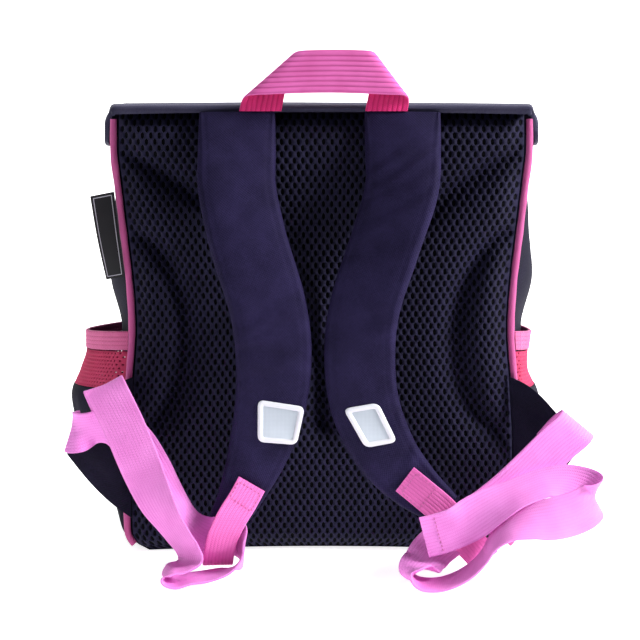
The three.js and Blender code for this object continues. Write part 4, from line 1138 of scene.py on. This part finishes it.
def label_finish():
    """Black satin with a plain woven border line set in from the edge."""
    finish = Finish("label satin", Sheen_Weight=0.03, Specular_IOR_Level=0.25)
    line_inset, line_half = 1.7, 0.24
    across, down = (place.least(end - place) for place, end in (
        (finish.u, LABEL_WIDE), (finish.v, LABEL_TOP - LABEL_BOTTOM)
    ))
    line = 1.0 - (across.least(down) - line_inset).size().above(line_half)
    rows = finish.v.wave(0.5) * 0.5 + 0.5
    satin = finish.mix(rows * 0.4 + finish.noise(120.0) * 0.6, "07060a", "15131b")
    return finish.made(finish.mix(line, satin, "a9a6b2"), 0.45 + rows * 0.1, rows * 0.6 + line * 0.4, 0.1)


def floor_finish():
    """A pale light table, lit a little from beneath, with a faint tooth."""
    finish = Finish("light table", Specular_IOR_Level=0.2, Emission_Color=(1, 1, 1, 1), Emission_Strength=0.8)
    cloud = finish.noise(3.0, 4.0)
    return finish.made(finish.mix(cloud, "f4f3f5", "fcfcfd"), 0.85 + cloud * 0.1)


NAVY_CLOTH = woven("navy cloth", "0f0e19", "1f1c30")
STRAP_CLOTH = woven("strap cloth", "17132b", "2b2548", roughness=0.66)
# Painted highlight: the lid is the navy cloth in a lighter tone, for the light that falls on its top
LID_CLOTH_PAINTED_HIGHLIGHT = woven("lid cloth with painted highlight", "34324a", "464458", roughness=0.55)
PAD_CLOTH = knitted("pad backing", "030306", "08080f", roughness=0.9)
NET_YARN = knitted("net yarn", "131226", "2b2946")
# Painted shade: the reverse tones of the adjusting and tab webbing are a little deeper than the right face, for
# the faces that turn into folds and loops
PINK_WEBBING = webbed("pink webbing", "d462bc f294e4 d060b6 f090de", rib_pitch(WEBBING_WIDTH, WEBBING_RIBS))
TAB_WEBBING = webbed("tab webbing", "cc4898 f278c6 c44088 e866b2", rib_pitch(TAB_WIDTH, TAB_RIBS))
# Painted shade: the right face, which shows on the upright legs, is a deeper pink for the shade under the grip;
# the reverse, which shows on the grip, has the lit tone
HANDLE_WEBBING_SHADED_LEGS = webbed(
    "handle webbing with painted leg shade", "c0185e ec2e82 cc468f f678c8", rib_pitch(WEBBING_WIDTH, HANDLE_RIBS), groove=0.7
)
PINK_ELASTIC = webbed("pink elastic", "b03a70 d86a9c b03a70 d86a9c", rib_pitch(RIM_WIDE, RIM_RIBS), pick=1.4)
PINK_NET = knitted("pink net", "b0284e", "dc4e78")
PIPING_CLOTH = twisted("pink piping", "b0407c", "d868a8")
NAVY_THREAD = twisted("navy thread", "0c0b14", "201e33")
PINK_THREAD = twisted("pink thread", "c0508e", "e080bf")
REFLECTING_FILM = film_finish()
WHITE_FRAME = moulded("white frame", "d6d8e0", "ecedf4")
CLASP_PLASTIC = moulded("clasp plastic", "121116", "24222b")
LABEL_SATIN = label_finish()


# The backpack, piece by piece
make_back_panel()
make_front()
make_base()
make_lid()
make_clasp()
make_handle()
make_label()
for word in SIDES:
    make_gusset(word)
    make_piping(word)
    make_wing(word)
    make_pocket(word)
    make_strap(word)
    make_reflector(word)
    make_strap_ends(word)


# Studio in metres: a pale floor that sweeps up behind, soft light from the right and above, and the camera
SWEEP_NEAR, SWEEP_BEND, SWEEP_RADIUS, SWEEP_HIGH, SWEEP_HALF = -0.38, 1.6, 1.2, 5.0, 5.0
SENSOR, FOCAL_PIXELS, FRAME_PIXELS, LOOK_DOWN = 36.0, 1667, 640, 9.15
CAMERA_PLACE = (-0.0009, -1.065, 0.308)


def studio_sweep():
    """Floor that runs level and then turns up behind on a quarter circle, as one wide strip."""
    angle = np.linspace(0, np.pi / 2, 20)
    bend = stacked(SWEEP_BEND + SWEEP_RADIUS * np.sin(angle), SWEEP_RADIUS * (1 - np.cos(angle)))
    line = [(SWEEP_NEAR, 0.0), (1.0, 0.0), *bend.tolist(), (SWEEP_BEND + SWEEP_RADIUS, SWEEP_HIGH)]
    points = [(x, y, z) for x in (-SWEEP_HALF, SWEEP_HALF) for y, z in line]
    mesh = bpy.data.meshes.new("studio_floor")
    mesh.from_pydata(points, [], grid_quads(2, len(line))[:, ::-1].tolist())
    mesh.uv_layers.new(name="cut")
    mesh.shade_smooth()
    mesh.materials.append(floor_finish())
    linked("studio_floor", mesh)


def soft_light(name, place, target, size, power, tint=(1, 1, 1)):
    """A square lamp at a place, turned to face a target."""
    lamp = bpy.data.lights.new(name, "AREA")
    lamp.size = size
    lamp.energy = power
    lamp.color = tint
    made = linked(name, lamp)
    made.location = place
    aim = np.array(target) - np.array(place)
    made.rotation_euler = (math.acos(-aim[2] / np.linalg.norm(aim)), 0, math.atan2(aim[0], -aim[1]) + math.pi)


def studio_camera():
    """The photograph's camera: its focal length in pixels of the frame, looking down a little."""
    lens = bpy.data.cameras.new("photo_camera")
    lens.sensor_width = SENSOR
    lens.lens = SENSOR * FOCAL_PIXELS / FRAME_PIXELS
    made = linked("photo_camera", lens)
    made.location = CAMERA_PLACE
    made.rotation_euler = (math.radians(90 - LOOK_DOWN), 0, 0)
    bpy.context.scene.camera = made


studio_sweep()
soft_light("key", (2.2, -0.62, 1.6), (0, 0, 0.14), 0.8, 120, (1.0, 0.98, 1.0))
soft_light("fill", (-1.6, -1.8, 0.9), (0, 0, 0.12), 1.6, 10, (0.96, 0.97, 1.0))
soft_light("top", (0.2, 0.6, 2.2), (0, 0, 0.2), 1.4, 30)
world = bpy.data.worlds.new("studio")
world.use_nodes = True
backdrop = world.node_tree.nodes["Background"].inputs
backdrop["Color"].default_value = (0.95, 0.96, 1.0, 1.0)
backdrop["Strength"].default_value = 0.16
bpy.context.scene.world = world
bpy.context.scene.view_settings.view_transform = "Standard"
studio_camera()
